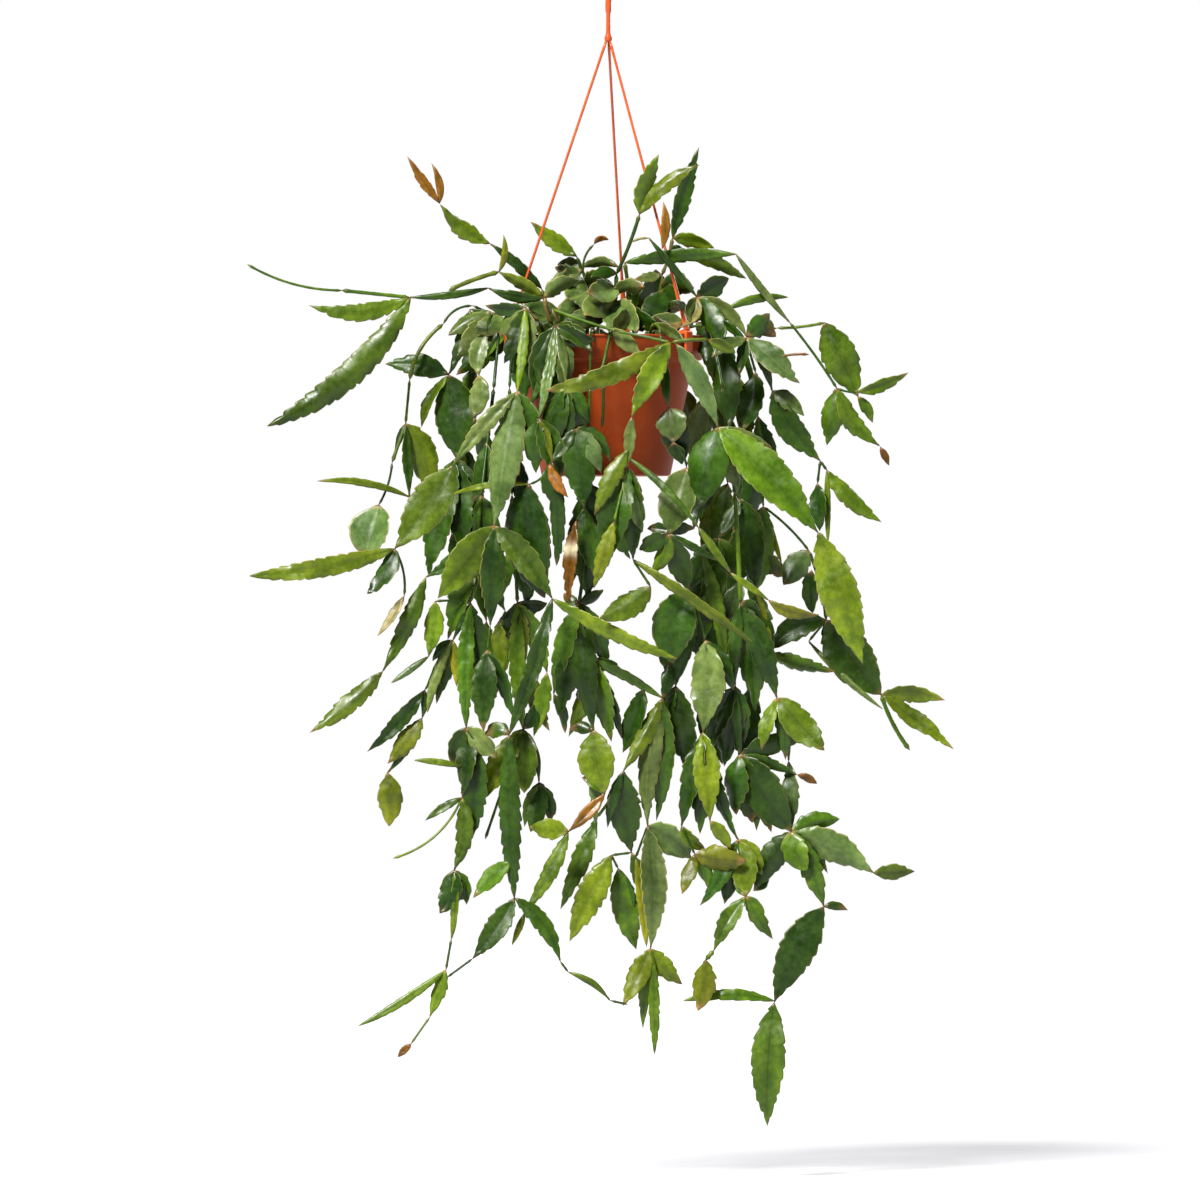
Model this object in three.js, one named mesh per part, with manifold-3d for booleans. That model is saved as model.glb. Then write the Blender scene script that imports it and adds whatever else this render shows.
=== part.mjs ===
// Potted rhipsalis elliptica in a hanging pot. Millimetres, +Z up, the front faces -Y.
// Everything is laid out from the middle of the pot's rim; the last step moves it so that the
// seat inside the hanger's hook is the origin.
import * as THREE from 'three'
import { mergeVertices } from 'three/addons/utils/BufferGeometryUtils.js'
import Module from 'manifold-3d'

const wasm = await Module()
wasm.setup()
const { Manifold, Mesh: Solid } = wasm

// Driving sizes
const POT = {
  rimRadius: 75.5, rimInner: 72.8, bandBottomRadius: 72, bandInner: 69.5, band: 18,
  bodyTopRadius: 65, baseRadius: 48.5, wall: 2.2, floor: 2.5, height: 105, sides: 32,
  drainHoles: 6, drainRadius: 3.5, drainCircle: 31,
}
const SOIL = { top: -22, dome: 9, slack: 0.6, sides: 28 }
const HOLE_SLACK = 0.35
const ROOT = { bottom: -36, top: -8, width: 4 }
const HANGER = {
  joinX: 1.7, joinZ: 221, rod: 1, shankFoot: 221.7, shankTop: 258, shankRadius: 2.2,
  neckRadius: 1.6, neckTop: 242, hookRadius: 11, hookStart: -70, hookEnd: 195, hookStep: 26,
  clipWidth: 8, clipOut: 2.6, clipTop: 3, clipLow: -13, clipInnerLow: -2.4, clipSlack: 0.4,
  lugGap: 1.3, lug: 2.2,
}
const WIRE_AZIMUTH = { left: 195, right: 323, back: 79 }
const BLADE = {
  joint: 1.25, buried: 0.8, sunk: 0.5, rib: 1.2, ribReach: 3, notch: 0.09, arch: 0.04, fold: 0.24, tip: 0.7,
  stemWidth: 5.2, narrow: 10, short: 40,
}
// How the outline rises to a blade's widest place and falls to its tip, by how slim the blade is
const OUTLINES = [
  { below: 0.16, rise: 0.7, fall: 0.72 },
  { below: 0.42, rise: 0.92, fall: 0.98 },
  { below: Infinity, rise: 0.8, fall: 0.86 },
]
const SEAT = { x: HANGER.joinX, z: HANGER.shankTop + 2 * HANGER.hookRadius - HANGER.shankRadius }

// Colours of the shoots' tones: dark, mid, bright, grey, yellow, orange, pale and woody
const TONES = ['#2e4a18', '#4f7226', '#7f9a34', '#7c9260', '#a89c3a', '#c2742a', '#c2a57e']
const TERRACOTTA = '#a8431c'
const HANGER_ORANGE = '#e0602c'
const EARTH = '#3b2a20'

// Shoots. Each has its place in the soil and its runs of joined blades. A run is its start, then
// for each blade the point of its tip x, y, z, its width, its bow to the left of its travel, its
// roll in degrees from facing the front, and its tone.
const SHOOTS = {
  shoot_left_reach: { root: [-34, -22], runs: [
    [[-34, -22, -8], [-40, -30, 8, 4, 0, 0, 1], [-46, -36, 28, 5, 1, 0, 6], [-88, -38, 35, 9, 3, 0, 0],
      [-147, -40, 28, 6, 2, 0, 0], [-197, -46, 33, 4.4, 0, 0, 1], [-267, -56, 52, 3, 5, 0, 1]],
    [[-147, -40, 28], [-222, -50, 23, 14, 9, 20, 2]],
    [[-146, -40, 28], [-253, -64, -68, 20, 13, -15, 1]],
    [[-47, -36, 29], [-80, -42, 47, 11, 0, -20, 2], [-117, -50, 33, 5, -1, 0, 2]],
    [[-80, -42, 47], [-77, -44, 75, 5.4, -3, 30, 4]],
  ] },
  shoot_upper_left: { root: [-36, 0], runs: [
    [[-36, 0, -8], [-42, -4, 14, 4, 0, 0, 1], [-48, -5, 35, 4.4, 0, 0, 0], [-87, -8, 69, 10, -2, 25, 0],
      [-124, -14, 98, 14, 3, 15, 2]],
    [[-42, -4, 14], [-66, -2, 26, 14, -3, 40, 3]],
    [[-42.4, -4.4, 13.6], [-77, -17, 7, 19, 0, 25, 3]],
  ] },
  shoot_front_cross: { root: [-28, -42], runs: [
    [[-28, -42, -8], [-34, -48, 6, 4, 0, 0, 1], [-40, -54, 19, 4.4, 0, 0, 6], [8, -86, 2, 3.6, -1, 0, 1],
      [48, -95, -7, 3.6, 0, 0, 1], [76, -96, -5, 4, 1, 0, 2], [96, -100, -15, 10, 1, 20, 2]],
    [[48, -95, -7], [-45, -104, -43, 16, 6, 10, 2]],
    [[48, -95, -7], [19, -106, -62, 18, -2, -15, 2], [16, -103, -99, 9, 0, 10, 3],
      [0, -106, -172, 26, -2, 8, 0]],
    [[52, -96, -8], [83, -100, -70, 17, 3, 25, 3], [157, -112, -148, 32, 2, -18, 1],
      [190, -118, -246, 30, 0, 10, 2]],
    [[83, -100, -70], [124, -100, -86, 8, 2, 10, 3]],
    [[83, -100, -70], [72, -106, -128, 32, -3, 14, 0]],
    [[83, -100, -70], [98, -94, -119, 20, 3, -20, 3]],
    [[157, -112, -148], [179, -106, -173, 5, 0, 0, 1]],
    [[16, -103, -92], [68, -121, -144, 5.6, 3, 0, 1], [92, -124, -178, 6, 0, 0, 2],
      [120, -126, -198, 5.4, 0, 0, 2], [158, -130, -209, 10, -4, 20, 4]],
    [[16, -103, -99], [27, -100, -148, 17, -2, -28, 3]],
    [[16, -103, -99], [20, -92, -168, 20, 1, 18, 0], [108, -108, -231, 9, 1, 10, 2]],
    [[17, -105, -86], [-9, -114, -136, 14, -2, 12, 2]],
    [[16, -103, -99], [6, -112, -140, 3, 0, 0, 1], [-10, -114, -190, 13, 0, 15, 4]],
    [[20, -92, -168], [33, -96, -188, 3, 0, 0, 0], [-5, -108, -212, 20, 3, 12, 2]],
  ] },
  shoot_right_top: { root: [44, -12], runs: [
    [[44, -12, -8], [58, -28, 10, 4, 0, 0, 1], [68, -45, 28, 5, 1, 0, 0], [32, -48, 72, 5.6, 0, 0, 0],
      [19, -50, 69, 2.6, -1, 0, 6]],
    [[68, -45, 28], [92, -44, 42, 17, 1, 20, 0]],
    [[68, -45, 28], [105, -48, -2, 11, 6, 10, 3], [127, -44, -2, 17, 6, 12, 0]],
    [[105.3, -48.7, -2.5], [144, -54, -37, 20, 0, -10, 3]],
    [[105, -48, -2], [99, -52, -31, 12, 1, 20, 0]],
    [[104.8, -47.4, -2.6], [124, -38, -42, 9, 3, 0, 0], [160, -36, -94, 22, -3, 15, 0],
      [165, -34, -101, 3, 0, 0, 0], [207, -38, -139, 15, -3, -15, 2]],
    [[124, -38, -42], [148, -46, -61, 13, 2, 10, 3]],
    [[160, -36, -94], [158, -37, -111, 2.8, 0, 0, 0], [159, -39, -147, 15, 0, 10, 0]],
    [[165, -34, -101], [166, -33, -156, 5.4, 0, 20, 2]],
    [[104.4, -47.6, -1], [128, -42, 5, 2.6, 1, 0, 1], [163, -40, 9, 3.4, -1, 0, 2],
      [188, -44, -46, 27, 0, 10, 1], [199, -46, -66, 9, 1, 10, 1]],
    [[128, -53, -17], [151, -56, -15, 3, 1, 0, 5]],
    [[90, -48.4, 18.6], [137, -42, 27, 7, 4, 15, 1]],
    [[68, -45, 28], [87, -60, -8, 18, 2, 15, 0]],
    [[105, -49, -3], [78, -62, -17, 11, -2, 20, 3]],
    [[105.7, -48.1, -1.1], [122, -52, 16, 14, 0, 10, 0]],
  ] },
  shoot_right_strap: { root: [22, -6], runs: [
    [[22, -6, -8], [18, -18, 28, 4, 0, 0, 1], [14, -32, 54, 4.4, 0, 0, 1], [97, -47, 60, 11, 2, 10, 1],
      [137, -50, 9, 6, -1, 0, 3], [172, -52, -40, 3, 1, 0, 0], [164, -56, -83, 18, 0, 15, 1]],
    [[172, -52, -40], [204, -50, -83, 15, -5, -15, 1]],
    [[172, -52, -40], [187, -50, -43, 2.6, -1, 0, 0], [226, -44, -28, 10, -2, 10, 2]],
    [[60, -43, 61], [105, -38, 41, 14, 1, 28, 2]],
  ] },
  shoot_upright: { root: [4, -14], runs: [
    [[4, -14, -8], [8, -22, 46, 4.2, 0, 0, 1], [25, -34, 90, 4.2, -1, 0, 0], [39, -38, 135, 15, 2, 20, 2]],
    [[25, -34, 90], [70, -40, 128, 13, 5, -10, 2]],
    [[7, -20, 36], [-24, -34, 24, 21, 3, 35, 3]],
    [[6, -18, 24], [-34, -62, 8, 18, 2, 20, 3]],
    [[7, -20, 30], [28, -44, 35, 15, 3, 30, 3]],
    [[8, -22, 46], [-12, -38, 42, 10, -3, 30, 0]],
    [[6, -18, 24], [24, -44, 12, 15, -3, 25, 3]],
  ] },
  shoot_upright_right: { root: [34, 20], runs: [
    [[34, 20, -8], [42, 16, 46, 4, 0, 0, 1], [50, 12, 74, 4, -1, 0, 6], [71, 18, 142, 14, 2, 20, 0]],
    [[50, 12, 74], [82, 8, 66, 13, 2, 28, 2]],
    [[47, 13, 64], [63, 22, 62, 12, 0, 10, 0]],
    [[42, 16, 46], [20, 6, 42, 10, 0, 40, 3]],
    [[41, 16, 40], [66, 4, 36, 18, 0, 30, 0]],
    [[41, 16, 34], [54, -10, 24, 20, 0, 30, 0]],
  ] },
  shoot_crown: { root: [-14, 14], runs: [
    [[-14, 14, -8], [-14, 14, 40, 4.4, 0, 0, 1], [-22, 12, 60, 4, 0, 0, 0], [-57, 10, 86, 14, 0, 15, 2]],
    [[-17, 13, 48], [-9, 10, 69, 2.6, 3, 0, 3]],
    [[-18, 13, 50], [-38, 0, 52, 14, 3, 30, 3]],
    [[-18, 13, 52], [10, 6, 51, 9, 4, 25, 3]],
    [[-14, 14, 40], [-44, -4, 38, 11, -2, 30, 3]],
    [[-14, 14, 30], [-36, -8, 20, 17, 2, 30, 3]],
    [[-14, 14, 40], [4, 34, 44, 14, 3, 50, 3]],
    [[-14, 14, 40], [-30, -16, 38, 14, -2, 30, 3]],
    [[-18.4, 12.6, 50.4], [-43, 14, 35, 19, 0, 20, 3]],
    [[-17.6, 13.4, 48.4], [-37, 22, 55, 12, -2, 30, 3]],
  ] },
  shoot_left_arch: { root: [-42, 18], runs: [
    [[-42, 18, -8], [-54, 20, 8, 3.6, 0, 0, 1], [-86, 14, 17, 3, 3, 0, 0], [-100, 8, 23, 2.8, 0, 0, 0],
      [-122, -2, 9, 2.8, -4, 0, 0], [-147, -14, -33, 4.4, -5, 0, 2], [-150, -18, -66, 3, 0, 0, 1],
      [-160, -22, -95, 4, 0, 0, 3], [-170, -26, -127, 2.6, 2, 0, 0], [-180, -32, -168, 33, 0, 15, 3]],
    [[-150, -18, -66], [-133, -16, -118, 23, 4, 20, 2]],
    [[-150, -18, -66], [-147, -24, -121, 9, 0, -20, 0], [-216, -34, -110, 6, -5, 20, 2]],
    [[-150, -18, -66], [-159, -10, -87, 6, 0, 20, 0]],
  ] },
  shoot_left_curtain: { root: [-50, 8], runs: [
    [[-50, 8, -8], [-62, 8, 10, 3.6, 0, 0, 1], [-86, 0, 18, 3.4, 2, 0, 0], [-112, -14, -16, 21, 3, 15, 3]],
    [[-80, 2, 17], [-98, -26, 3, 18, 3, 20, 3]],
    [[-86, 0, 18], [-102, 2, 20, 3, 0, 0, 0], [-118, -4, -29, 13, 3, 30, 0],
      [-166, 2, -21, 18, -3, 10, 0]],
    [[-118, -4.4, -29.4], [-112, -12, -92, 33, 2, 10, 0]],
    [[-117.6, -3.3, -29.8], [-139, -6, -69, 11, -4, 30, 2]],
    [[-86, 0, 18], [-90, -20, 2, 3, 0, 0, 0], [-95, -30, -30, 15, -3, 15, 3],
      [-99, -34, -62, 17, 2, 15, 3]],
    [[-112, -12, -92], [-104, -18, -152, 26, 2, 10, 0]],
    [[-112, -12, -92], [-128, -10, -144, 18, -2, 20, 1]],
    [[-99, -34, -62], [-88, -22, -108, 16, 2, 20, 0]],
    [[-112.4, -12.4, -91.6], [-134, -23, -181, 25, -2, 10, 0]],
    [[-111.6, -11.6, -92.4], [-106, -20, -166, 22, 0, 12, 0]],
  ] },
  shoot_left_strap: { root: [-42, -34], runs: [
    [[-42, -34, -8], [-50, -46, 10, 4, 0, 0, 1], [-60, -58, 20, 4, 1, 0, 6],
      [-66, -76, -43, 8, 1, 10, 2], [-114, -80, -98, 13, -2, 15, 3], [-157, -86, -160, 31, 2, 10, 2],
      [-265, -98, -180, 15, 4, 12, 2]],
    [[-157, -86, -160], [-177, -92, -194, 17, 4, 20, 0]],
    [[-157, -86, -160], [-150, -84, -195, 2.8, 3, 0, 0], [-170, -88, -225, 8, 1, 20, 6]],
    [[-66, -76, -43], [-83, -86, -143, 26, -1, 12, 3], [-125, -92, -197, 28, 0, -12, 2]],
    [[-83, -86, -143], [-40, -94, -197, 20, 3, 15, 1], [53, -102, -241, 12, -4, 10, 2]],
    [[-83, -86, -143], [-86, -90, -217, 20, 0, -15, 0], [-88, -88, -235, 2.6, 0, 0, 0],
      [-91, -94, -296, 20, -1, 15, 0]],
    [[-88, -88, -235], [-69, -84, -286, 12, 2, 25, 0]],
    [[-83, -86, -143], [-134, -76, -181, 16, 3, 20, 0], [-166, -80, -251, 14, 2, -10, 1],
      [-220, -88, -297, 15, 2, 10, 2]],
    [[-40, -94, -197], [-72, -98, -298, 13, 2, 10, 0], [-68, -98, -419, 17, -2, 10, 0],
      [-99, -100, -464, 18, 2, 10, 0], [-118, -99, -478, 2.6, 0, 0, 0]],
    [[-68, -98, -419], [-34, -100, -466, 14, 6, -12, 1], [-28, -100, -474, 2.6, 0, 0, 0],
      [3, -102, -495, 6, 3, 20, 2], [16, -100, -498, 2.6, 0, 0, 0]],
    [[-70, -99, -392], [-99, -104, -419, 14, -2, 15, 1]],
    [[-60.4, -57.6, 19.6], [-62, -60, -27, 16, 2, 15, 3]],
  ] },
  shoot_front_left: { root: [-18, -38], runs: [
    [[-18, -38, -8], [-28, -52, -2, 3.6, 0, 0, 1], [-38, -68, 6, 3.6, 0, 0, 1],
      [-50, -84, -63, 9, 2, 15, 3], [-40, -88, -95, 8, 1, 15, 4]],
    [[-38, -68, 6], [-30, -85, -38, 8, 2, -15, 3], [-23, -86, -70, 3, 0, 0, 1],
      [-42, -88, -97, 10, 1, 15, 0], [-57, -78, -112, 2.6, 3, 0, 0], [-117, -60, -119, 5.4, -3, 20, 2]],
    [[-23, -86, -70], [-3, -92, -104, 15, 2, -15, 3]],
    [[-23, -86, -70], [-16, -90, -130, 24, 0, 12, 0]],
    [[-23, -86, -70], [3, -84, -96, 12, 5, 20, 0]],
    [[-42, -88, -97], [-28, -96, -122, 9, -2, 10, 5]],
    [[-42, -88, -97], [-32, -84, -131, 13, -4, 15, 0]],
    [[-38, -68, 6], [-8, -82, -5, 15, -3, 15, 0]],
    [[-38, -68, 6], [-31, -73, -44, 16, -2, 25, 0]],
    [[-38, -68, 6], [-57, -74, -54, 13, 2, 25, 0]],
    [[-30, -85, -38], [-13, -84, -67, 12, 2, 15, 0]],
    [[-30, -85, -38], [-41, -80, -79, 13, -2, 20, 0]],
    [[-57, -78, -112], [-45, -74, -196, 36, -8, 8, 0]],
    [[-16, -90, -130], [-22, -86, -139, 3, 0, 0, 0], [-28, -90, -202, 14, -2, 25, 6]],
    [[-38.4, -68.4, 5.6], [-45, -74, -54, 22, 2, 10, 0]],
  ] },
  shoot_front_mid: { root: [2, -42], runs: [
    [[2, -42, -8], [6, -58, 2.6, 3.2, 0, 0, 1], [4, -76, 4.6, 3.2, 0, 0, 1], [-3, -83, -28, 4, 0, 0, 0],
      [-3, -80, -70, 3.4, 1, 0, 0]],
    [[4, -76, 4.6], [27, -84, -16, 13, -1, 20, 3]],
    [[6, -56, 1], [14, -66, 20, 13, -2, 15, 3]],
  ] },
  shoot_front_right: { root: [30, -42], runs: [
    [[30, -42, -8], [35, -60, 8, 3.2, 0, 0, 1], [40, -80, 0, 3.2, 2, 0, 1], [46, -86, -24, 3.6, 0, 0, 0],
      [47, -90, -55, 7, -2, 20, 0], [50, -94, -81, 24, 1, 12, 3], [60, -91, -100, 2.6, 2, 0, 0],
      [47, -98, -149, 30, 0, 10, 3], [62, -84, -192, 19, 0, 12, 0], [74, -84, -228, 3, 1, 0, 0],
      [72, -90, -296, 28, 2, 10, 3], [77, -94, -362, 21, 1, 12, 2]],
    [[50, -94, -81], [57, -86, -96, 13, -1, 15, 0]],
    [[35, -60, 8], [60, -84, -8, 9, 2, 10, 3]],
    [[47, -98, -149], [83, -98, -169, 6, 0, 10, 0]],
    [[47, -98, -149], [33, -92, -179, 14, 2, 15, 2]],
    [[77, -94, -362], [93, -92, -384, 11, 1, 15, 2]],
    [[74, -84, -228], [95, -84, -266, 14, 2, 15, 0]],
    [[62, -84, -192], [50, -88, -246, 33, -6, 12, 0]],
    [[72, -90, -296], [56, -86, -366, 18, 0, 15, 0], [66, -90, -387, 2.6, 0, 0, 0],
      [104, -98, -392, 20, -1, 15, 4]],
    [[66, -90, -387], [56, -98, -416, 12, 0, 10, 4]],
    [[72, -90, -296], [98, -86, -376, 14, -4, 20, 0], [104, -92, -418, 22, 1, 10, 2],
      [80, -96, -458, 14, -2, 12, 1], [74, -96, -465, 5, 0, 0, 2], [68, -98, -503, 18, 1, 15, 4]],
    [[98, -86, -376], [116, -84, -402, 14, 2, 15, 2]],
    [[98, -86, -376], [69, -88, -425, 14, 3, 15, 0]],
    [[104, -92, -418], [124, -88, -450, 12, -1, 10, 1]],
    [[46.6, -97.6, -149.4], [24, -93, -161, 14, 0, 10, 0]],
    [[72.4, -89.6, -296.4], [70, -84, -372, 22, 0, 12, 0]],
    [[98.4, -86.4, -375.6], [88, -84, -424, 20, 0, 12, 0]],
  ] },
  shoot_right_curtain: { root: [52, 4], runs: [
    [[52, 4, -8], [64, 2, 10, 3.6, 0, 0, 1], [80, -8, 14, 3.2, 1, 0, 0], [88, -26, -10, 12, 1, 15, 3],
      [92, -36, -70, 24, 0, 15, 0], [100, -44, -122, 14, 0, 15, 0], [112, -48, -192, 22, 2, 15, 0]],
    [[80, -8, 14], [106, -18, -6, 7, 2, 20, 0], [112, -22, -28, 3, 0, 0, 0],
      [102, -30, -71, 20, 2, 15, 0]],
    [[100, -44, -122], [84, -52, -152, 13, 1, 15, 0], [99, -58, -184, 17, 0, 15, 1]],
    [[84, -52, -152], [62, -62, -192, 18, -2, 12, 0]],
    [[84, -52, -152], [72, -66, -164, 3, 0, 0, 0], [89, -70, -247, 12, 2, 15, 1]],
    [[99, -58, -184], [86, -58, -214, 17, 2, 15, 3]],
    [[112, -48, -192], [124, -50, -231, 5.4, 1, 20, 4]],
    [[92, -36, -70], [66, -48, -146, 24, -2, 15, 0]],
    [[84, -52, -152], [73, -58, -230, 20, 0, 15, 1]],
    [[100, -44, -122], [117, -46, -166, 15, 2, 15, 1]],
    [[62.3, -62.3, -191.6], [52, -66, -262, 30, -5, 12, 0], [61, -66, -328, 22, 0, 15, 0]],
  ] },
  shoot_right_mid: { root: [52, 18], runs: [
    [[52, 18, -8], [66, 20, 12, 3.6, 0, 0, 1], [92, 12, 12, 3.2, 3, 0, 0], [114, 4, -60, 5.6, 4, 20, 0],
      [118, 0, -128, 6, 0, 20, 1], [152, -6, -161, 3, 2, 0, 0], [165, -12, -213, 4, 2, 0, 0],
      [206, -18, -269, 35, -2, 10, 0], [254, -22, -273, 14, 3, 12, 2]],
    [[118, 0, -128], [132, 2, -171, 5.4, 0, 20, 4]],
    [[116, 2, -94], [95, 8, -150, 24, 2, -15, 0]],
    [[118, 0, -128], [92, 8, -198, 26, -2, 15, 0]],
    [[118, 0, -128], [108, -8, -200, 24, 2, -15, 1]],
    [[114, 4, -60], [130, 6, -104, 15, -2, 15, 0]],
    [[118, 0, -128], [117, -2, -164, 3, 0, 0, 0], [134, -4, -181, 14, 0, 10, 3]],
    [[152, -6, -161], [133, -12, -187, 20, -1, 12, 3]],
    [[154, -7, -176], [155, -4, -208, 14, -1, 15, 0]],
    [[165, -12, -213], [121, -22, -238, 20, -6, 15, 0], [172, -18, -251, 13, -2, 15, 1]],
    [[165, -12, -213], [152, -4, -229, 2.8, 0, 0, 3], [207, -30, -280, 5.4, -2, 10, 3]],
    [[206, -18, -269], [260, -26, -310, 14, 1, -12, 2]],
    [[206, -18, -269], [227, -20, -310, 5, -2, 10, 1]],
  ] },
  shoot_lower_right: { root: [42, -24], runs: [
    [[42, -24, -8], [58, -32, 4, 3.2, 0, 0, 1], [74, -38, 7, 3.2, 1, 0, 1], [86, -64, -40, 3.6, 2, 0, 0],
      [96, -76, -120, 4.4, 0, 0, 0], [100, -78, -200, 5, 0, 0, 1], [127, -80, -271, 20, 2, 12, 0],
      [162, -86, -310, 24, 0, -10, 2]],
    [[127, -80, -271], [115, -84, -310, 12, -2, 10, 2]],
    [[100, -78, -200], [96, -76, -262, 11, -2, 15, 0], [100, -74, -313, 8, -1, 15, 0],
      [138, -80, -370, 33, -2, 12, 0], [150, -86, -399, 21, -3, 10, 1]],
    [[100, -74, -313], [147, -70, -301, 17, 1, 20, 0]],
    [[100, -74, -313], [142, -70, -328, 9, 1, 15, 0]],
    [[100, -74, -313], [96, -80, -358, 20, -3, 12, 0]],
    [[127, -80, -271], [136, -66, -318, 6, 2, 10, 0], [139, -72, -368, 13, 0, 20, 3]],
    [[138, -80, -370], [174, -76, -361, 16, 2, 12, 1]],
    [[138, -80, -370], [110, -73, -414, 20, -2, 10, 0]],
    [[138, -80, -370], [199, -74, -401, 24, 3, 12, 3], [230, -74, -400, 13, 0, 10, 2]],
    [[138, -80, -370], [162, -78, -426, 18, 2, 12, 1], [125, -84, -497, 28, -3, 10, 0],
      [119, -88, -590, 26, -2, 8, 1]],
    [[138, -80, -370], [165, -70, -402, 10, 3, 15, 0]],
    [[100, -74, -313], [123, -62, -372, 20, 2, 15, 2]],
    [[96, -76, -262], [76, -66, -312, 17, -2, 15, 0]],
    [[162, -78, -426], [180, -76, -429, 7, 2, 15, 0]],
    [[125, -84, -496], [57, -88, -496, 9, -5, 20, 1]],
    [[99.6, -77.6, -200.4], [111, -68, -281, 24, 2, 12, 0]],
    [[100.4, -74.4, -312.6], [109, -67, -364, 24, 0, 15, 0]],
    [[96.4, -75.6, -262.4], [88, -66, -322, 22, 0, 12, 0]],
  ] },
  shoot_lower_left: { root: [-50, -4], runs: [
    [[-50, -4, -8], [-62, -5, 6, 3.2, 0, 0, 1], [-80, -10, 5, 3.2, 1, 0, 1],
      [-84, -26, -40, 3.6, 0, 0, 0], [-93, -54, -120, 4, 0, 0, 0], [-101, -66, -200, 5, 0, 0, 1],
      [-104, -70, -293, 13, -2, 10, 1], [-107, -72, -345, 17, 2, 15, 0], [-113, -74, -399, 15, 4, 10, 1],
      [-124, -78, -431, 18, 3, 15, 0]],
    [[-104, -70, -293], [-81, -76, -316, 16, 1, 12, 3]],
    [[-107, -73, -322], [-143, -76, -317, 5.4, -1, 20, 2]],
    [[-107, -72, -345], [-135, -78, -362, 7, -1, 15, 1]],
    [[-97.5, -60.8, -165], [-108, -58, -207, 13, 1, 20, 2]],
    [[-114, -64, -228], [-127, -56, -276, 12, -1, 15, 0]],
    [[-114, -64, -228], [-112, -66, -263, 9, 1, 10, 4]],
    [[-89, -40, -80], [-100, -44, -126, 16, 2, 20, 0]],
    [[-107, -72, -345], [-158, -80, -390, 2.8, 8, 0, 2]],
    [[-113, -74, -399], [-106, -70, -421, 17, -3, 15, 0]],
    [[-113, -74, -399], [-115, -80, -450, 7, 2, 15, 2], [-119, -80, -473, 2.8, 0, 0, 3],
      [-184, -84, -515, 7, 2, 12, 2]],
    [[-119, -80, -473], [-131, -78, -508, 11, 0, 15, 2], [-145, -76, -528, 2.6, 0, 0, 3],
      [-155, -75, -538, 6, 0, 20, 5]],
    [[-101, -66, -200], [-114, -64, -228, 6, 0, 20, 0], [-135, -62, -265, 8, 1, 20, 0],
      [-178, -66, -311, 12, 2, 10, 0]],
    [[-114, -64, -228], [-133, -72, -282, 8, -3, 10, 3]],
    [[-135, -62, -265], [-137, -60, -286, 6, 1, 20, 0], [-163, -66, -320, 15, 1, 10, 4]],
    [[-137, -60, -286], [-163, -56, -327, 8, 2, 20, 0], [-162, -58, -367, 19, 1.5, 12, 4]],
    [[-101, -66, -200], [-127, -72, -199, 2.8, -1, 0, 0], [-132, -74, -240, 15, 1, 12, 2],
      [-160, -78, -260, 5.4, 0, 15, 3]],
    [[-103.6, -69.6, -292.6], [-106, -65, -386, 20, 7, 12, 0]],
    [[-100.6, -66.4, -200.4], [-93, -62, -263, 18, 0, 12, 0]],
    [[-97.9, -60.4, -165.4], [-119, -60, -228, 18, 0, 20, 1]],
    [[-93.4, -54.4, -120.4], [-84, -50, -170, 23, 0, 10, 0]],
  ] },
  shoot_centre_low: { root: [-8, -48], runs: [
    [[-8, -48, -8], [-9, -62, 4, 3.2, 0, 0, 1], [-11, -78, 4, 3, 0, 0, 1], [-12, -76, -40, 3, 0, 0, 0],
      [-14, -72, -110, 3, 0, 0, 0], [-20, -76, -200, 4, 2, 0, 0], [-9, -80, -295, 22, -3, 12, 0],
      [-1, -84, -342, 28, -2, 10, 2], [-28, -88, -370, 10, 1, 12, 5], [-57, -92, -367, 16, -1, 15, 2]],
    [[-28, -88, -370], [-60, -90, -430, 13, 2, 12, 2], [-70, -92, -455, 5.4, 0, 15, 4]],
    [[-16, -73, -128], [-5, -79, -184, 18, -2, 12, 0]],
    [[-20, -76, -200], [-39, -68, -268, 16, -2, 15, 1]],
    [[-10, -74, -242], [-28, -64, -300, 15, 2, 15, 2]],
    [[-10, -74, -242], [4, -68, -304, 17, 1, 15, 1]],
    [[-9, -80, -295], [-7, -70, -366, 14, 1, 20, 3]],
    [[19, -66, -386], [32, -60, -428, 13, 1, 20, 0]],
    [[-20, -76, -200], [-10, -74, -242, 3, 2, 0, 0], [42, -74, -271, 8, 1, 15, 1],
      [31, -74, -366, 18, -5, 12, 3], [33, -76, -457, 20, 4, 10, 3], [36, -78, -536, 9, 1, 15, 1]],
    [[42, -74, -271], [13, -82, -325, 14, 1, 12, 2], [19, -66, -386, 25, -2, 12, 0]],
    [[28, -74, -264], [12, -64, -312, 19, 1, 20, 0]],
    [[31, -74, -366], [63, -72, -391, 24, 2, 12, 3]],
    [[31, -74, -366], [22, -66, -390, 2.8, 0, 0, 0], [30, -66, -457, 8, 1, 15, 4]],
    [[33, -76, -457], [13, -80, -500, 17, 0, 12, 4]],
    [[33, -76, -457], [57, -76, -484, 15, -2, 12, 2]],
    [[33, -76, -457], [27, -70, -518, 10, -1, 15, 1]],
    [[19, -66, -386], [4, -68, -388, 2.8, 0, 0, 1], [-27, -74, -452, 22, -1, 10, 2]],
    [[4, -68, -388], [9, -60, -398, 2.8, 0, 0, 1], [22, -58, -460, 21, -1, 12, 1]],
    [[13, -82, -325], [-7, -60, -360, 3.4, 2, 0, 1], [-35, -62, -429, 15, 1, 12, 1]],
    [[-20.4, -75.6, -200.4], [-33, -69, -286, 23, -1, 12, 0]],
    [[-13.6, -71.6, -110.4], [-24, -66, -184, 22, 0, 12, 0]],
    [[-15.6, -72.6, -128.4], [-14, -67, -200, 22, 0, 12, 0]],
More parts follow.
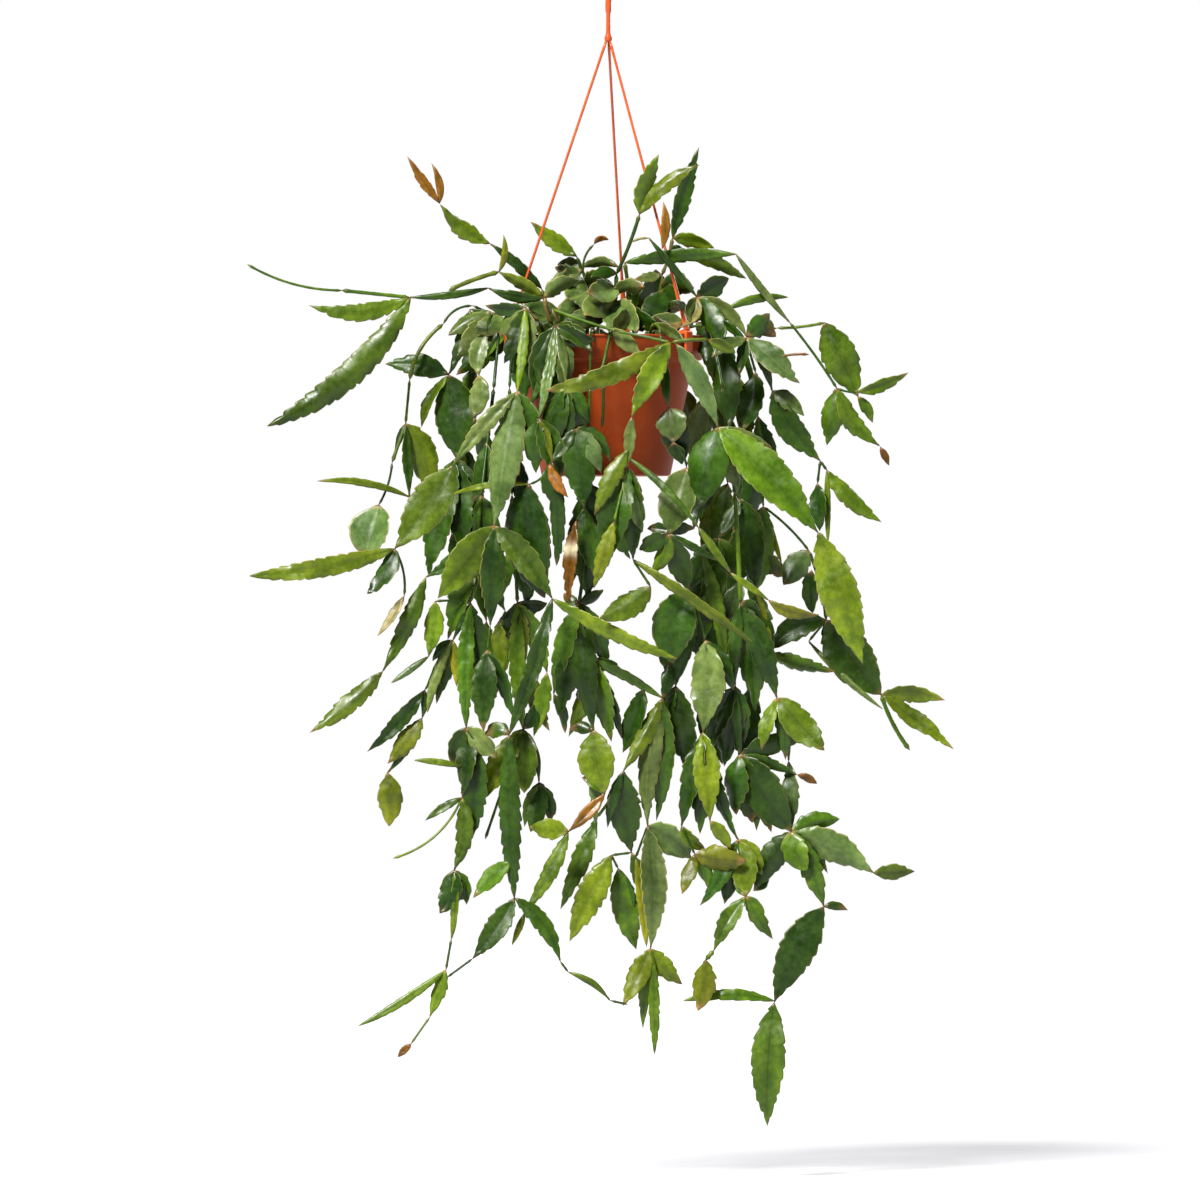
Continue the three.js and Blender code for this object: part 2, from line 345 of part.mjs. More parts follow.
    [[-19.6, -75.6, -200.4], [2, -68, -247, 20, 0, 12, 0]],
    [[-13.4, -72.4, -110.6], [18, -70, -168, 22, 0, 12, 0]],
  ] },
  shoot_left_low: { root: [-50, -22], runs: [
    [[-50, -22, -8], [-60, -36, 6, 3.2, 0, 0, 1], [-69, -46, 3, 3.2, 1, 0, 1],
      [-72, -56, -40, 3, 0, 0, 0], [-70, -58, -120, 3.4, 0, 0, 0], [-66, -60, -200, 4, 0, 0, 0],
      [-62, -60, -294, 13, -2, 15, 1], [-94, -62, -350, 20, -2, 12, 2]],
    [[-66, -60, -200], [-60, -54, -246, 19, -3, 15, 2]],
    [[-60, -54, -246], [-42, -52, -296, 15, -2, 15, 2]],
    [[-69, -46, 3], [-62, -57, -52, 18, 2, 20, 0]],
    [[-71, -57, -86], [-62, -60, -136, 15, 2, 20, 0]],
    [[-68, -59, -160], [-80, -56, -200, 13, -2, 15, 1]],
    [[-66, -60, -200], [-80, -58, -214, 3, 0, 0, 0], [-76, -62, -252, 13, -1, 12, 2]],
    [[-66, -60, -200], [-44, -56, -252, 18, 3, 15, 1], [-54, -54, -300, 13, 1, 10, 2]],
    [[-62, -60, -294], [-61, -66, -342, 22, 1, 12, 1]],
    [[-62, -60, -294], [-50, -56, -334, 7, 3, 15, 0], [-56, -58, -371, 17, 1, 12, 0]],
    [[-62, -60, -294], [-90, -56, -376, 3.2, 0, 0, 1]],
    [[-70.4, -57.6, -120.4], [-58, -53, -206, 24, 2, 15, 0]],
  ] },
  shoot_back_right: { root: [42, 34], runs: [
    [[42, 34, -8], [54, 42, 10, 3.6, 0, 0, 1], [68, 54, 12, 3.4, 1, 0, 1], [84, 62, -40, 14, 3, -20, 1],
      [92, 62, -110, 20, 1, 20, 0], [88, 58, -180, 22, -2, -15, 1], [96, 52, -250, 24, 2, 20, 0]],
    [[68, 54, 12], [100, 40, -30, 18, 3, -35, 0], [108, 34, -90, 16, 1, 30, 1],
      [104, 30, -150, 20, -2, -25, 3]],
    [[84, 62, -40], [64, 74, -92, 22, -3, -15, 3]],
    [[92, 62, -110], [72, 70, -160, 18, -2, 15, 2], [66, 66, -224, 20, 2, 15, 0]],
  ] },
  shoot_back_mid_right: { root: [26, 46], runs: [
    [[26, 46, -8], [34, 58, 12, 3.6, 0, 0, 1], [40, 74, 10, 3.4, 1, 0, 1], [46, 90, -34, 20, 2, 15, 3],
      [38, 94, -96, 26, -2, -15, 0]],
    [[40, 74, 10], [56, 78, -36, 15, 3, 30, 1], [70, 84, -88, 18, 2, 25, 2]],
    [[34, 58, 12], [14, 62, 26, 16, 3, 40, 3]],
    [[34, 58, 12], [58, 50, 22, 16, 3, 40, 3]],
    [[34.4, 57.6, 12.4], [38, 49, 51, 30, 0, 20, 0]],
    [[33.6, 58.4, 11.6], [18, 44, 42, 24, 0, 15, 0]],
  ] },
  shoot_back_mid: { root: [-6, 44], runs: [
    [[-6, 44, -8], [-6, 60, 12, 3.6, 0, 0, 1], [-6, 78, 8, 3.4, 0, 0, 1], [-12, 92, -40, 22, 2, 10, 1],
      [-2, 94, -98, 24, 2, -10, 0]],
    [[-6, 78, 8], [14, 88, -40, 18, 3, 20, 3], [18, 88, -94, 16, 0, 15, 2]],
    [[-6, 60, 12], [-30, 54, 28, 18, 3, 40, 3]],
    [[-6.4, 60.4, 12.4], [-4, 50, 48, 30, 0, 15, 0]],
  ] },
  shoot_back_mid_left: { root: [-26, 42], runs: [
    [[-26, 42, -8], [-34, 56, 10, 3.6, 0, 0, 1], [-42, 72, 8, 3.4, 0, 0, 1],
      [-48, 84, -40, 22, -2, -12, 0], [-36, 88, -98, 24, 2, 14, 3]],
    [[-42, 72, 8], [-60, 72, -36, 14, -3, -25, 2], [-66, 76, -90, 16, -1, 20, 0]],
    [[-34, 56, 10], [-56, 46, 24, 17, -3, 40, 3]],
  ] },
  shoot_back_left: { root: [-42, 32], runs: [
    [[-42, 32, -8], [-54, 38, 10, 3.6, 0, 0, 1], [-70, 44, 12, 3.4, 1, 0, 1],
      [-98, 40, -22, 22, -3, 30, 1], [-106, 36, -84, 20, -2, -25, 0], [-98, 34, -146, 22, 2, 20, 1],
      [-90, 32, -214, 20, -1, -20, 0], [-96, 30, -282, 18, 1, 25, 1]],
    [[-70, 44, 12], [-92, 56, -18, 12, -2, 35, 3]],
    [[-106, 36, -84], [-116, 26, -148, 16, -2, 30, 2]],
    [[-98, 34, -146], [-76, 44, -206, 20, -3, -15, 3], [-84, 46, -272, 16, 1, 15, 2]],
    [[-70.4, 44.4, 11.6], [-113, 27, -30, 22, 0, 15, 0]],
  ] },
}

// Young orange growth at the ends of the green shoots, each a piece of its own
const YOUNG = {
  young_pair_upper_left: [
    [[-124.6, -14, 99.1], [-148, -19, 135, 8, 1, 20, 5]],
    [[-124.6, -14, 99.1], [-131, -10, 129, 6.5, -3, 20, 5]],
  ],
  young_bud_top: [[[-8.7, 9.9, 69.5], [2, 8, 72, 5.4, 3, 20, 5]]],
  young_blade_centre: [[[42, -47, 64.2], [43, -44, 100, 7.5, -2, 20, 5]]],
  young_tip_right: [[[204.7, -50, -84], [211, -51, -98, 6, 0, 20, 5]]],
  young_tip_lower: [[[142.7, -70, -328.2], [157, -71, -335, 7, 1, 20, 5]]],
}

const rad = degrees => degrees * Math.PI / 180
const vec = (x, y, z) => new THREE.Vector3(x, y, z)

// Closed geometry to a solid, and back
function solidOf(shape) {
  shape.deleteAttribute('normal')
  shape.deleteAttribute('uv')
  const { attributes, index } = mergeVertices(shape, 1e-4)
  const triangles = []
  for (let i = 0; i < index.count; i += 3) {
    const [a, b, c] = index.array.slice(i, i + 3)
    if (a !== b && b !== c && c !== a) triangles.push(a, b, c)
  }
  return new Manifold(new Solid({
    numProp: 3, vertProperties: attributes.position.array, triVerts: Uint32Array.from(triangles),
  }))
}

function meshOf(solid, name, colour, roughness = 0.6) {
  const { vertProperties, triVerts, numProp } = solid.getMesh()
  const positions = []
  for (let i = 0; i < vertProperties.length; i += numProp) {
    positions.push(vertProperties[i], vertProperties[i + 1], vertProperties[i + 2])
  }
  const geometry = new THREE.BufferGeometry()
  geometry.setAttribute('position', new THREE.Float32BufferAttribute(positions, 3))
  geometry.setIndex(Array.from(triVerts))
  geometry.computeVertexNormals()
  const mesh = new THREE.Mesh(geometry, new THREE.MeshStandardMaterial({ color: colour, roughness }))
  mesh.name = name
  return mesh
}

const joined = solids => solids.reduce((sum, next) => sum.add(next))

// A closed skin over rings of equal count, with fans over both ends
function skin(rings) {
  const count = rings[0].length
  const index = []
  rings.slice(1).forEach((_, r) => {
    for (let i = 0; i < count; i++) {
      const a = r * count + i
      const b = r * count + (i + 1) % count
      index.push(a, b, b + count, a, b + count, a + count)
    }
  })
  const last = (rings.length - 1) * count
  for (let i = 1; i < count - 1; i++) {
    index.push(0, i + 1, i, last, last + i, last + i + 1)
  }
  const shape = new THREE.BufferGeometry().setFromPoints(rings.flat())
  return solidOf(shape.setIndex(index))
}

// Width of a blade along its length, 0 to 1, for its width and length
function outline(t, width, length) {
  const { rise, fall } = OUTLINES.find(({ below }) => width / length < below)
  const peak = rise / (rise + fall)
  return (t / peak) ** rise * ((1 - t) / (1 - peak)) ** fall
}

function stationCount(width, length, bow) {
  if (width < BLADE.stemWidth) return Math.abs(bow) > 2 ? 2 : 1
  return width < BLADE.narrow || length < BLADE.short ? 2 : 3
}

// The curve of one blade: its middle bows in the front's plane and arches outward
function bladeCurve(from, blade) {
  const [x, y, z, width, bow] = blade
  const start = vec(...from)
  const end = vec(x, y, z)
  const length = start.distanceTo(end)
  const flat = Math.hypot(x - from[0], z - from[2]) || 1
  const outward = (y + from[1] < 0 ? -1 : 1) * BLADE.arch * length * (width < BLADE.stemWidth ? 0 : 1)
  const offset = vec(-(z - from[2]) / flat * bow, outward, (x - from[0]) / flat * bow)
  const middle = start.clone().add(end).multiplyScalar(0.5).addScaledVector(offset, 2)
  return { curve: new THREE.QuadraticBezierCurve3(start, middle, end), length }
}

function sideways(tangent, roll) {
  const side = tangent.clone().cross(vec(0, -1, 0))
  if (side.length() < 0.05) side.set(1, 0, 0)
  return side.normalize().applyAxisAngle(tangent, rad(roll))
}

// Four points round one station: the two edges and the rib on each face
function section({ at, tangent, side, left, right, rib, fold }) {
  const up = tangent.clone().cross(side).normalize()
  const point = (u, v) => at.clone().addScaledVector(side, u).addScaledVector(up, v)
  return [point(-left, left * fold), point(0, -rib), point(right, right * fold), point(0, rib)]
}

function bladeStations(from, blade, index, isLast) {
  const [, , , width, bow, roll] = blade
  const { curve, length } = bladeCurve(from, blade)
  const stem = width < BLADE.stemWidth
  const count = stationCount(width, length, bow)
  const fold = stem ? 0 : BLADE.fold * Math.sin(index * 2.4 + width)
  return Array.from({ length: count + 1 }, (_, i) => {
    const t = i / count
    const tangent = curve.getTangent(t)
    const ends = i === 0 || i === count
    const tip = isLast && i === count
    const thin = stem ? width / 2 : BLADE.joint
    const leaf = Math.max(thin, width / 2 * outline(t, width, length))
    const half = tip ? BLADE.tip : ends || stem ? thin : leaf
    const spread = stem ? 0 : Math.min(1, (half - thin) / BLADE.ribReach)
    const notch = spread < 1 || width < BLADE.narrow ? 0 : BLADE.notch * (i % 2 ? 1 : -1)
    return {
      at: curve.getPoint(t), tangent, side: sideways(tangent, roll),
      left: half * (1 + notch), right: half * (1 - notch),
      rib: tip ? BLADE.tip : THREE.MathUtils.lerp(thin, BLADE.rib, spread),
      fold: fold * spread,
    }
  })
}

// A run of joined blades as one skin, narrow at every joint. A branch starts thinner, inside the
// joint that it grows from.
function bladeRun([start, ...blades], isBranch = true) {
  const stations = []
  blades.forEach((blade, k) => {
    const from = k ? blades[k - 1] : start
    const next = bladeStations(from.slice(0, 3), blade, k, k === blades.length - 1)
    if (!stations.length) {
      stations.push(...next)
      return
    }
    const before = stations.pop()
    if (before.side.dot(next[0].side) < 0) next.forEach(s => s.side.negate())
    const knuckle = Math.max(before.left, next[0].left)
    stations.push({
      ...before, tangent: before.tangent.clone().add(next[0].tangent).normalize(),
      side: before.side.clone().add(next[0].side).normalize(),
      left: knuckle, right: knuckle, rib: knuckle,
    }, ...next.slice(1))
  })
  for (const s of stations) {
    s.side.addScaledVector(s.tangent, -s.side.dot(s.tangent)).normalize()
  }
  if (isBranch) {
    stations[0].at.addScaledVector(stations[0].tangent, -BLADE.sunk)
    Object.assign(stations[0], { left: BLADE.buried, right: BLADE.buried, rib: BLADE.buried })
  }
  return skin(stations.map(section))
}

// A shoot: its main run goes straight down into its hole in the soil
function shoot({ root: [x, y], runs: [main, ...branches] }) {
  const foot = [[x, y, ROOT.bottom], [x, y, ROOT.top, ROOT.width, 0, 0, 1]]
  return joined([bladeRun([...foot, ...main.slice(1)], false), ...branches.map(run => bladeRun(run))])
}

function meanTone(runs) {
  const colour = new THREE.Color(0, 0, 0)
  let weight = 0
  for (const blade of runs.flatMap(run => run.slice(1))) {
    colour.add(new THREE.Color(TONES[blade[6]]).multiplyScalar(blade[3]))
    weight += blade[3]
  }
  return colour.multiplyScalar(1 / weight)
}

// Turned shape from an outline of [radius, height] that starts and ends on the axis
function turned(profile, sides) {
  const shape = new THREE.LatheGeometry(profile.map(([r, z]) => new THREE.Vector2(r, z)), sides)
  return solidOf(shape.rotateX(Math.PI / 2))
}

function post(x, y, low, high, radius, sides) {
  const shape = new THREE.CylinderGeometry(radius, radius, high - low, sides)
  return solidOf(shape.rotateX(Math.PI / 2).translate(x, y, (low + high) / 2))
}

function pot() {
  const p = POT
  const step = -p.band
  const body = turned([
    [0, -p.height], [p.baseRadius - 1, -p.height], [p.baseRadius, 1 - p.height],
    [p.bodyTopRadius, step - 1.5], [p.bandBottomRadius, step], [p.rimRadius - 0.6, -2],
    [p.rimRadius, -1.4], [p.rimRadius, 0], [p.rimInner, 0], [p.bandInner, step + 2],
    [p.bodyTopRadius - p.wall, step + 0.8], [p.baseRadius - p.wall + 0.6, p.floor - p.height],
    [0, p.floor - p.height],
  ], p.sides)
  const drains = Array.from({ length: p.drainHoles }, (_, i) => {
    const turn = 2 * Math.PI * (i + 0.5) / p.drainHoles
    return post(p.drainCircle * Math.cos(turn), p.drainCircle * Math.sin(turn), -p.height - 1,
      p.floor - p.height + 1, p.drainRadius, 8)
  })
  return body.subtract(joined(drains))
}

function wallRadius(z) {
  const p = POT
  const low = [p.baseRadius - p.wall + 0.6, p.floor - p.height]
  const high = [p.bodyTopRadius - p.wall, 0.8 - p.band]
  return low[0] + (high[0] - low[0]) * (z - low[1]) / (high[1] - low[1])
}

function soil() {
  const low = POT.floor - POT.height + 0.3
  const body = turned([
    [0, low], [wallRadius(low) - SOIL.slack, low], [wallRadius(SOIL.top) - SOIL.slack, SOIL.top],
    [40, SOIL.top + 0.6 * SOIL.dome], [0, SOIL.top + SOIL.dome],
  ], SOIL.sides)
  const holes = Object.values(SHOOTS).map(({ root: [x, y] }) =>
    post(x, y, ROOT.bottom - HOLE_SLACK, 0, ROOT.width / 2 + HOLE_SLACK / Math.cos(Math.PI / 4), 4))
  return body.subtract(joined(holes))
}

// A round bar through points, its radius given at each
function bar(points, radii, sides) {
  const middle = points.map((p, i) =>
    points[Math.min(i + 1, points.length - 1)].clone().sub(points[Math.max(i - 1, 0)]).normalize())
  return skin(points.map((p, i) => {
    const across = vec(0, 1, 0).addScaledVector(middle[i], -middle[i].y).normalize()
    const other = middle[i].clone().cross(across)
    return Array.from({ length: sides }, (_, k) => {
      const turn = 2 * Math.PI * k / sides
      return p.clone().addScaledVector(across, radii[i] * Math.cos(turn))
        .addScaledVector(other, radii[i] * Math.sin(turn))
    })
  }))
}

function hook() {
  const h = HANGER
  const centre = h.shankTop + h.hookRadius
  const points = [vec(h.joinX, 0, h.shankFoot), vec(h.joinX, 0, h.shankFoot + 4), vec(h.joinX, 0, h.neckTop),
    vec(h.joinX, 0, h.neckTop + 2), vec(h.joinX, 0, h.shankTop - 4)]
  const radii = [3, h.neckRadius, h.neckRadius, h.shankRadius, h.shankRadius]
  for (let turn = h.hookStart; turn <= h.hookEnd; turn += h.hookStep) {
    const [across, up] = [Math.cos(rad(turn)), Math.sin(rad(turn))]
    points.push(vec(h.joinX + h.hookRadius * across, 0, centre + h.hookRadius * up))
    radii.push(h.shankRadius)
  }
  return bar(points, radii, 8)
}

// One hanger wire with the clip that it grips the rim by
function wire(azimuth) {
  const h = HANGER
  const out = vec(Math.cos(rad(azimuth)), Math.sin(rad(azimuth)), 0)
  const start = vec(h.joinX, 0, h.joinZ).addScaledVector(out, 1.7)
  const end = out.clone().multiplyScalar(POT.rimRadius + 0.6)
  end.z = h.clipTop - 1
  const rod = bar([start, end], [h.rod, h.rod], 6)
  const lug = POT.rimInner - h.lugGap
  const inner = lug - h.lug
  const outer = POT.rimRadius + h.clipOut
  // A box across the rim, given by its inner and outer radius and its bottom and top
  const across = (near, far, low, high, width) => {
    const box = new THREE.BoxGeometry(far - near, width, high - low)
    return solidOf(box.translate((near + far) / 2, 0, (low + high) / 2).rotateZ(rad(azimuth)))
  }
  const block = across(inner, outer, h.clipLow, h.clipTop, h.clipWidth)
  const slot = across(lug, POT.rimRadius + h.clipSlack, h.clipLow - 1, h.clipSlack, h.clipWidth + 2)
  const below = across(inner - 1, POT.rimRadius + h.clipSlack, h.clipLow - 1, h.clipInnerLow, h.clipWidth + 2)
  return rod.add(block.subtract(slot).subtract(below))
}

const hung = new THREE.Group()
hung.position.set(-SEAT.x, 0, -SEAT.z)
hung.add(meshOf(pot(), 'pot', TERRACOTTA, 0.5))
hung.add(meshOf(soil(), 'soil', EARTH, 1))
hung.add(meshOf(hook(), 'hanger_hook', HANGER_ORANGE, 0.4))
for (const [name, azimuth] of Object.entries(WIRE_AZIMUTH)) {
  hung.add(meshOf(wire(azimuth), `hanger_wire_${name}`, HANGER_ORANGE, 0.4))
}
for (const [name, plan] of Object.entries(SHOOTS)) {
  hung.add(meshOf(shoot(plan), name, meanTone(plan.runs)))
}
for (const [name, runs] of Object.entries(YOUNG)) {
  hung.add(meshOf(joined(runs.map(run => bladeRun(run, false))), name, meanTone(runs)))
}

const part = new THREE.Group()
part.name = 'potted_rhipsalis_elliptica'
part.add(hung)
export default part
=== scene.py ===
import bisect
import math
import random
from types import SimpleNamespace

import bmesh
import bpy
from mathutils import Matrix, Quaternion, Vector, noise


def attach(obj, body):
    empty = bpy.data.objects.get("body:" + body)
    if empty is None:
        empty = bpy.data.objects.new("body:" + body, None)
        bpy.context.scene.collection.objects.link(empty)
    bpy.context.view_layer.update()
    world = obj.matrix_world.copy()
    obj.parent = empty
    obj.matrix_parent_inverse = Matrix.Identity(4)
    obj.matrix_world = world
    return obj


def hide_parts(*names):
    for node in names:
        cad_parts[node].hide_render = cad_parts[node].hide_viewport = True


# Potted rhipsalis elliptica in a hanging pot. Pieces are laid out in millimetres from the middle
# of the pot's rim, front to -Y, and then placed so that the seat inside the hook is the origin.

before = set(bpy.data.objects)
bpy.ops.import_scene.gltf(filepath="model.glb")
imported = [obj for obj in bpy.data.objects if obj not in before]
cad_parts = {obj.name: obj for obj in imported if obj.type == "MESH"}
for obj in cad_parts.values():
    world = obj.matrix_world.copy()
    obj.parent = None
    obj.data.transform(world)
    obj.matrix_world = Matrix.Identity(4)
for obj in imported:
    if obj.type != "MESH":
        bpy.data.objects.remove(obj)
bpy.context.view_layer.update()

# Pot: radius and height from the middle of its floor, up its wall, round the rim and back inside
RIM_RADIUS, POT_STEPS = 75.5, 96
POT_OUTLINE = [
    (0, -105), (46.8, -105), (48, -104.6), (48.5, -103.6), (50.1, -96), (64.6, -22), (65.2, -19.4),
    (66.2, -18.7), (71.2, -18.2), (72, -17.5), (74.3, -4.4), (74.6, -2.4), (75.1, -2),
    (RIM_RADIUS, -1.5), (RIM_RADIUS, -0.6), (75.2, -0.15), (74.6, 0), (73.5, 0), (73, -0.2),
    (72.7, -0.8), (69.8, -15), (69, -16), (63.2, -17), (62.7, -18.2), (48.4, -97), (47, -101.6),
    (46, -102.5), (0, -102.5),
]
DRAIN_HOLES, DRAIN_CIRCLE, DRAIN_RADIUS, DRILL_HEIGHT, DRILL_LENGTH = 6, 31, 3.5, -104, 8

# Soil: a dome on a tapered side. Its lumps and crumbs, each given by scale and height, fade out
# towards its rim, and bark chips are pressed into it.
SOIL_FLOOR, SOIL_TOP, SOIL_DOME, SOIL_RADIUS, SOIL_STEPS = -102.2, -22, 9, 62, 72
SOIL_SIDE = [(0, SOIL_FLOOR), (46, SOIL_FLOOR), (61.4, -24), (61.3, SOIL_TOP - 0.5)]
LUMPS, CRUMBS, FADE_OUT = (0.11, 1.6), (0.45, 1.1), 8
CHIPS, CHIP_SPREAD, CHIP_SIZE, CHIP_WIDTH, CHIP_DEPTH = 420, 58, (0.7, 2.6), (0.5, 0.9), (0.3, 0.6)

# Hook: a round bar on a shank, with rings of height and radius for the shank's foot, and of the
# way past the bar's end and radius for its rounded tip
JOIN_X, SHANK_TOP, SHANK_PULL, SHANK_STEPS = 1.7, 250, 4, 8
HOOK_RADIUS, HOOK_CENTRE_Z, HOOK_DEGREES, BAR_RADIUS, BAR_SIDES = 11, 269, range(-60, 196, 5), 2.2, 24
FOOT_RINGS = [
    (220.6, 1.2), (220.9, 2.1), (221.8, 2.7), (223.2, 2.9), (224.6, 2.6), (226.5, 1.9), (229, 1.65),
    (236, 1.55), (241, 1.55), (242.4, 1.7), (243.4, 2.1), (244.2, BAR_RADIUS), (SHANK_TOP, BAR_RADIUS),
]
TIP_RINGS = [(0.5, 2.1), (0.95, 1.8), (1.25, 1.2)]

# The seat on the inside of the hook's top
SEAT = Vector((JOIN_X, 0, HOOK_CENTRE_Z + HOOK_RADIUS - BAR_RADIUS))

# Wires: where each goes, seen from above, where it starts and ends, and its rings: share of its
# length, half width along the rim and half depth
WIRE_AZIMUTH = {"left": 195, "right": 323, "back": 79}
WIRE_START_OUT, WIRE_START_Z, WIRE_END_OUT, WIRE_END_Z = 1.7, 221, RIM_RADIUS + 0.9, 1
WIRE_RINGS = [
    (0, 0.9, 0.9), (0.02, 1.15, 1.15), (0.06, 1.0, 1.0), (0.3, 1.0, 1.0), (0.55, 1.0, 1.0),
    (0.78, 1.05, 1.0), (0.82, 1.35, 1.0), (0.87, 2.1, 0.95), (0.93, 2.5, 0.9), (0.96, 3.2, 0.95),
    (0.985, 3.9, 1.0), (1, 3.9, 0.9),
]

# Clips: radius and height round the hook that goes over the rim
CLIP_OUTLINE = [
    (76, -13), (78.1, -13), (78.1, 1.6), (77.6, 2.6), (76.4, 3), (69.9, 3), (69.3, 2.4), (69.3, -2.4),
    (71.5, -2.4), (71.5, 0.4), (76, 0.4),
]
CLIP_WIDTH, CLIP_ROUNDING = 8, 0.35

# Links: narrower than STEM_WIDTH they are round stems, and the others are flat blades. SUNK is how
# far their ends go into the joints, and a link carries any other that starts JOINED_WITHIN its tip.
STEM_WIDTH, SUNK, JOINED_WITHIN, ROOT_FOOT, ROOT_WIDTH = 5.2, 0.7, 2, -36, 4

# Stems: their sides, the length of a row, their radius as a share of the width given, how much
# their ends are swollen, and how far these are woody
STEM_SIDES, STEM_ROW, STEM_RADIUS, STEM_KNOT, STEM_DRY = 8, 3, 0.33, 1.22, 3.5

# Blades: how far they arch outwards as a share of their length, their half width at a joint and at
# a free tip, the gain in half width over which they flatten from there, the ratios of width to
# length that tell slim and broad ones apart, and the columns of faces round them, more from WIDE up
ARCH, NECK, FREE_NECK, FLATTENING, SLIM, BROAD = 0.04, 0.85, 0.3, 3, 0.16, 0.42
WIDE, COLUMNS, WIDE_COLUMNS = 15, 16, 20

# Skin: its half thickness, its groove along the rib, the lift and thickness of the cushions between
# its veins, the lengths of its ripples, how far one edge's ripples run ahead of the other's, and
# how far its ends are browned
SKIN_HALF, GROOVE_DEPTH, GROOVE_WIDTH, CUSHION_LIFT, CUSHION_SKIN = 0.6, 0.4, 0.14, 0.7, 0.2
EDGE_RIPPLE, BLADE_RIPPLE, RIPPLE_AHEAD, FULL_WAVE_WIDTH = 5.5, 9, 1.6, 16
ROOT_DRY, TIP_DRY, OLD_TIP_DRY = 4, 3.5, 5

# Teeth: their pitch, rows of faces in each, how far along each is highest, the level between tooth
# and notch, their depth at most and as a share of the blade's width, and how each one varies
TOOTH_PITCH, TOOTH_ROWS, TOOTH_PEAK, TOOTH_LEVEL = 9.5, 7, 0.84, 0.7
TOOTH_DEPTH, TOOTH_SHARE, TOOTH_SHIFT, TOOTH_SIZE = 1.9, 0.12, (-0.28, 0.28), (0.4, 1.3)

# Tones of the links, and a list of their colours in order: the fifth is yellow
DARK, MID, BRIGHT, GREY, ORANGE, PALE = 0, 1, 2, 3, 5, 6
TONES = ["#213c02", "#3b5705", "#4f6407", "#495d2d", "#5c6407", "#664206", "#72693e"]

# A long dried blade has one bleached patch
DRIED_LENGTH, BLEACHED_AT, BLEACHED_REACH, BLEACHING, BLEACHED = 60, 0.34, 0.07, 0.8, (0.62, 0.54, 0.44)

# What differs from link to link, each drawn between two values
FOLD, CURL, TWIST, BEND, WAVE = (0.08, 0.3), (-0.16, 0.24), (-9, 9), (-0.04, 0.07), (0.3, 1.9)
LIGHT, WARMTH, FADE, WOOD = (0.68, 1.3), (-0.12, 0.14), (-0.4, 0.4), (0.25, 0.7)
GREY_RIM, BRIGHT_RIM, PLAIN_RIM, QUILTED, SMOOTH = (0.3, 0.8), (0.1, 0.7), (0.0, 0.4), (0.6, 1.3), (0, 0.35)

# The degrees that a blade turns to either side, the tones of which a share is quilted, the rim of a
# pale blade, and how aged a free tip or a joined one is
TURN, DARK_TURN, QUILTED_TONES, QUILTED_SHARE, PALE_RIM = 8, 13, (MID, BRIGHT, GREY), 0.6, 0.8
TIP_AGES, JOINED_AGE = [0, 0.3, 0.6, 1], 0.5

# Floor, light and camera, in metres from the seat
FLOOR_RADIUS, FLOOR_Z, FLOOR_GLOW, ROOM_GLOW = 6, -0.905, 0.5, 0.1
CAMERA_PLACE, CAMERA_LENS, CAMERA_SENSOR, CAMERA_REACH = (-0.0062, -9, -0.4758), 360, 36, 60
SUNLIGHT, SKYLIGHT = (1, 0.98, 0.94), (0.97, 0.98, 1)

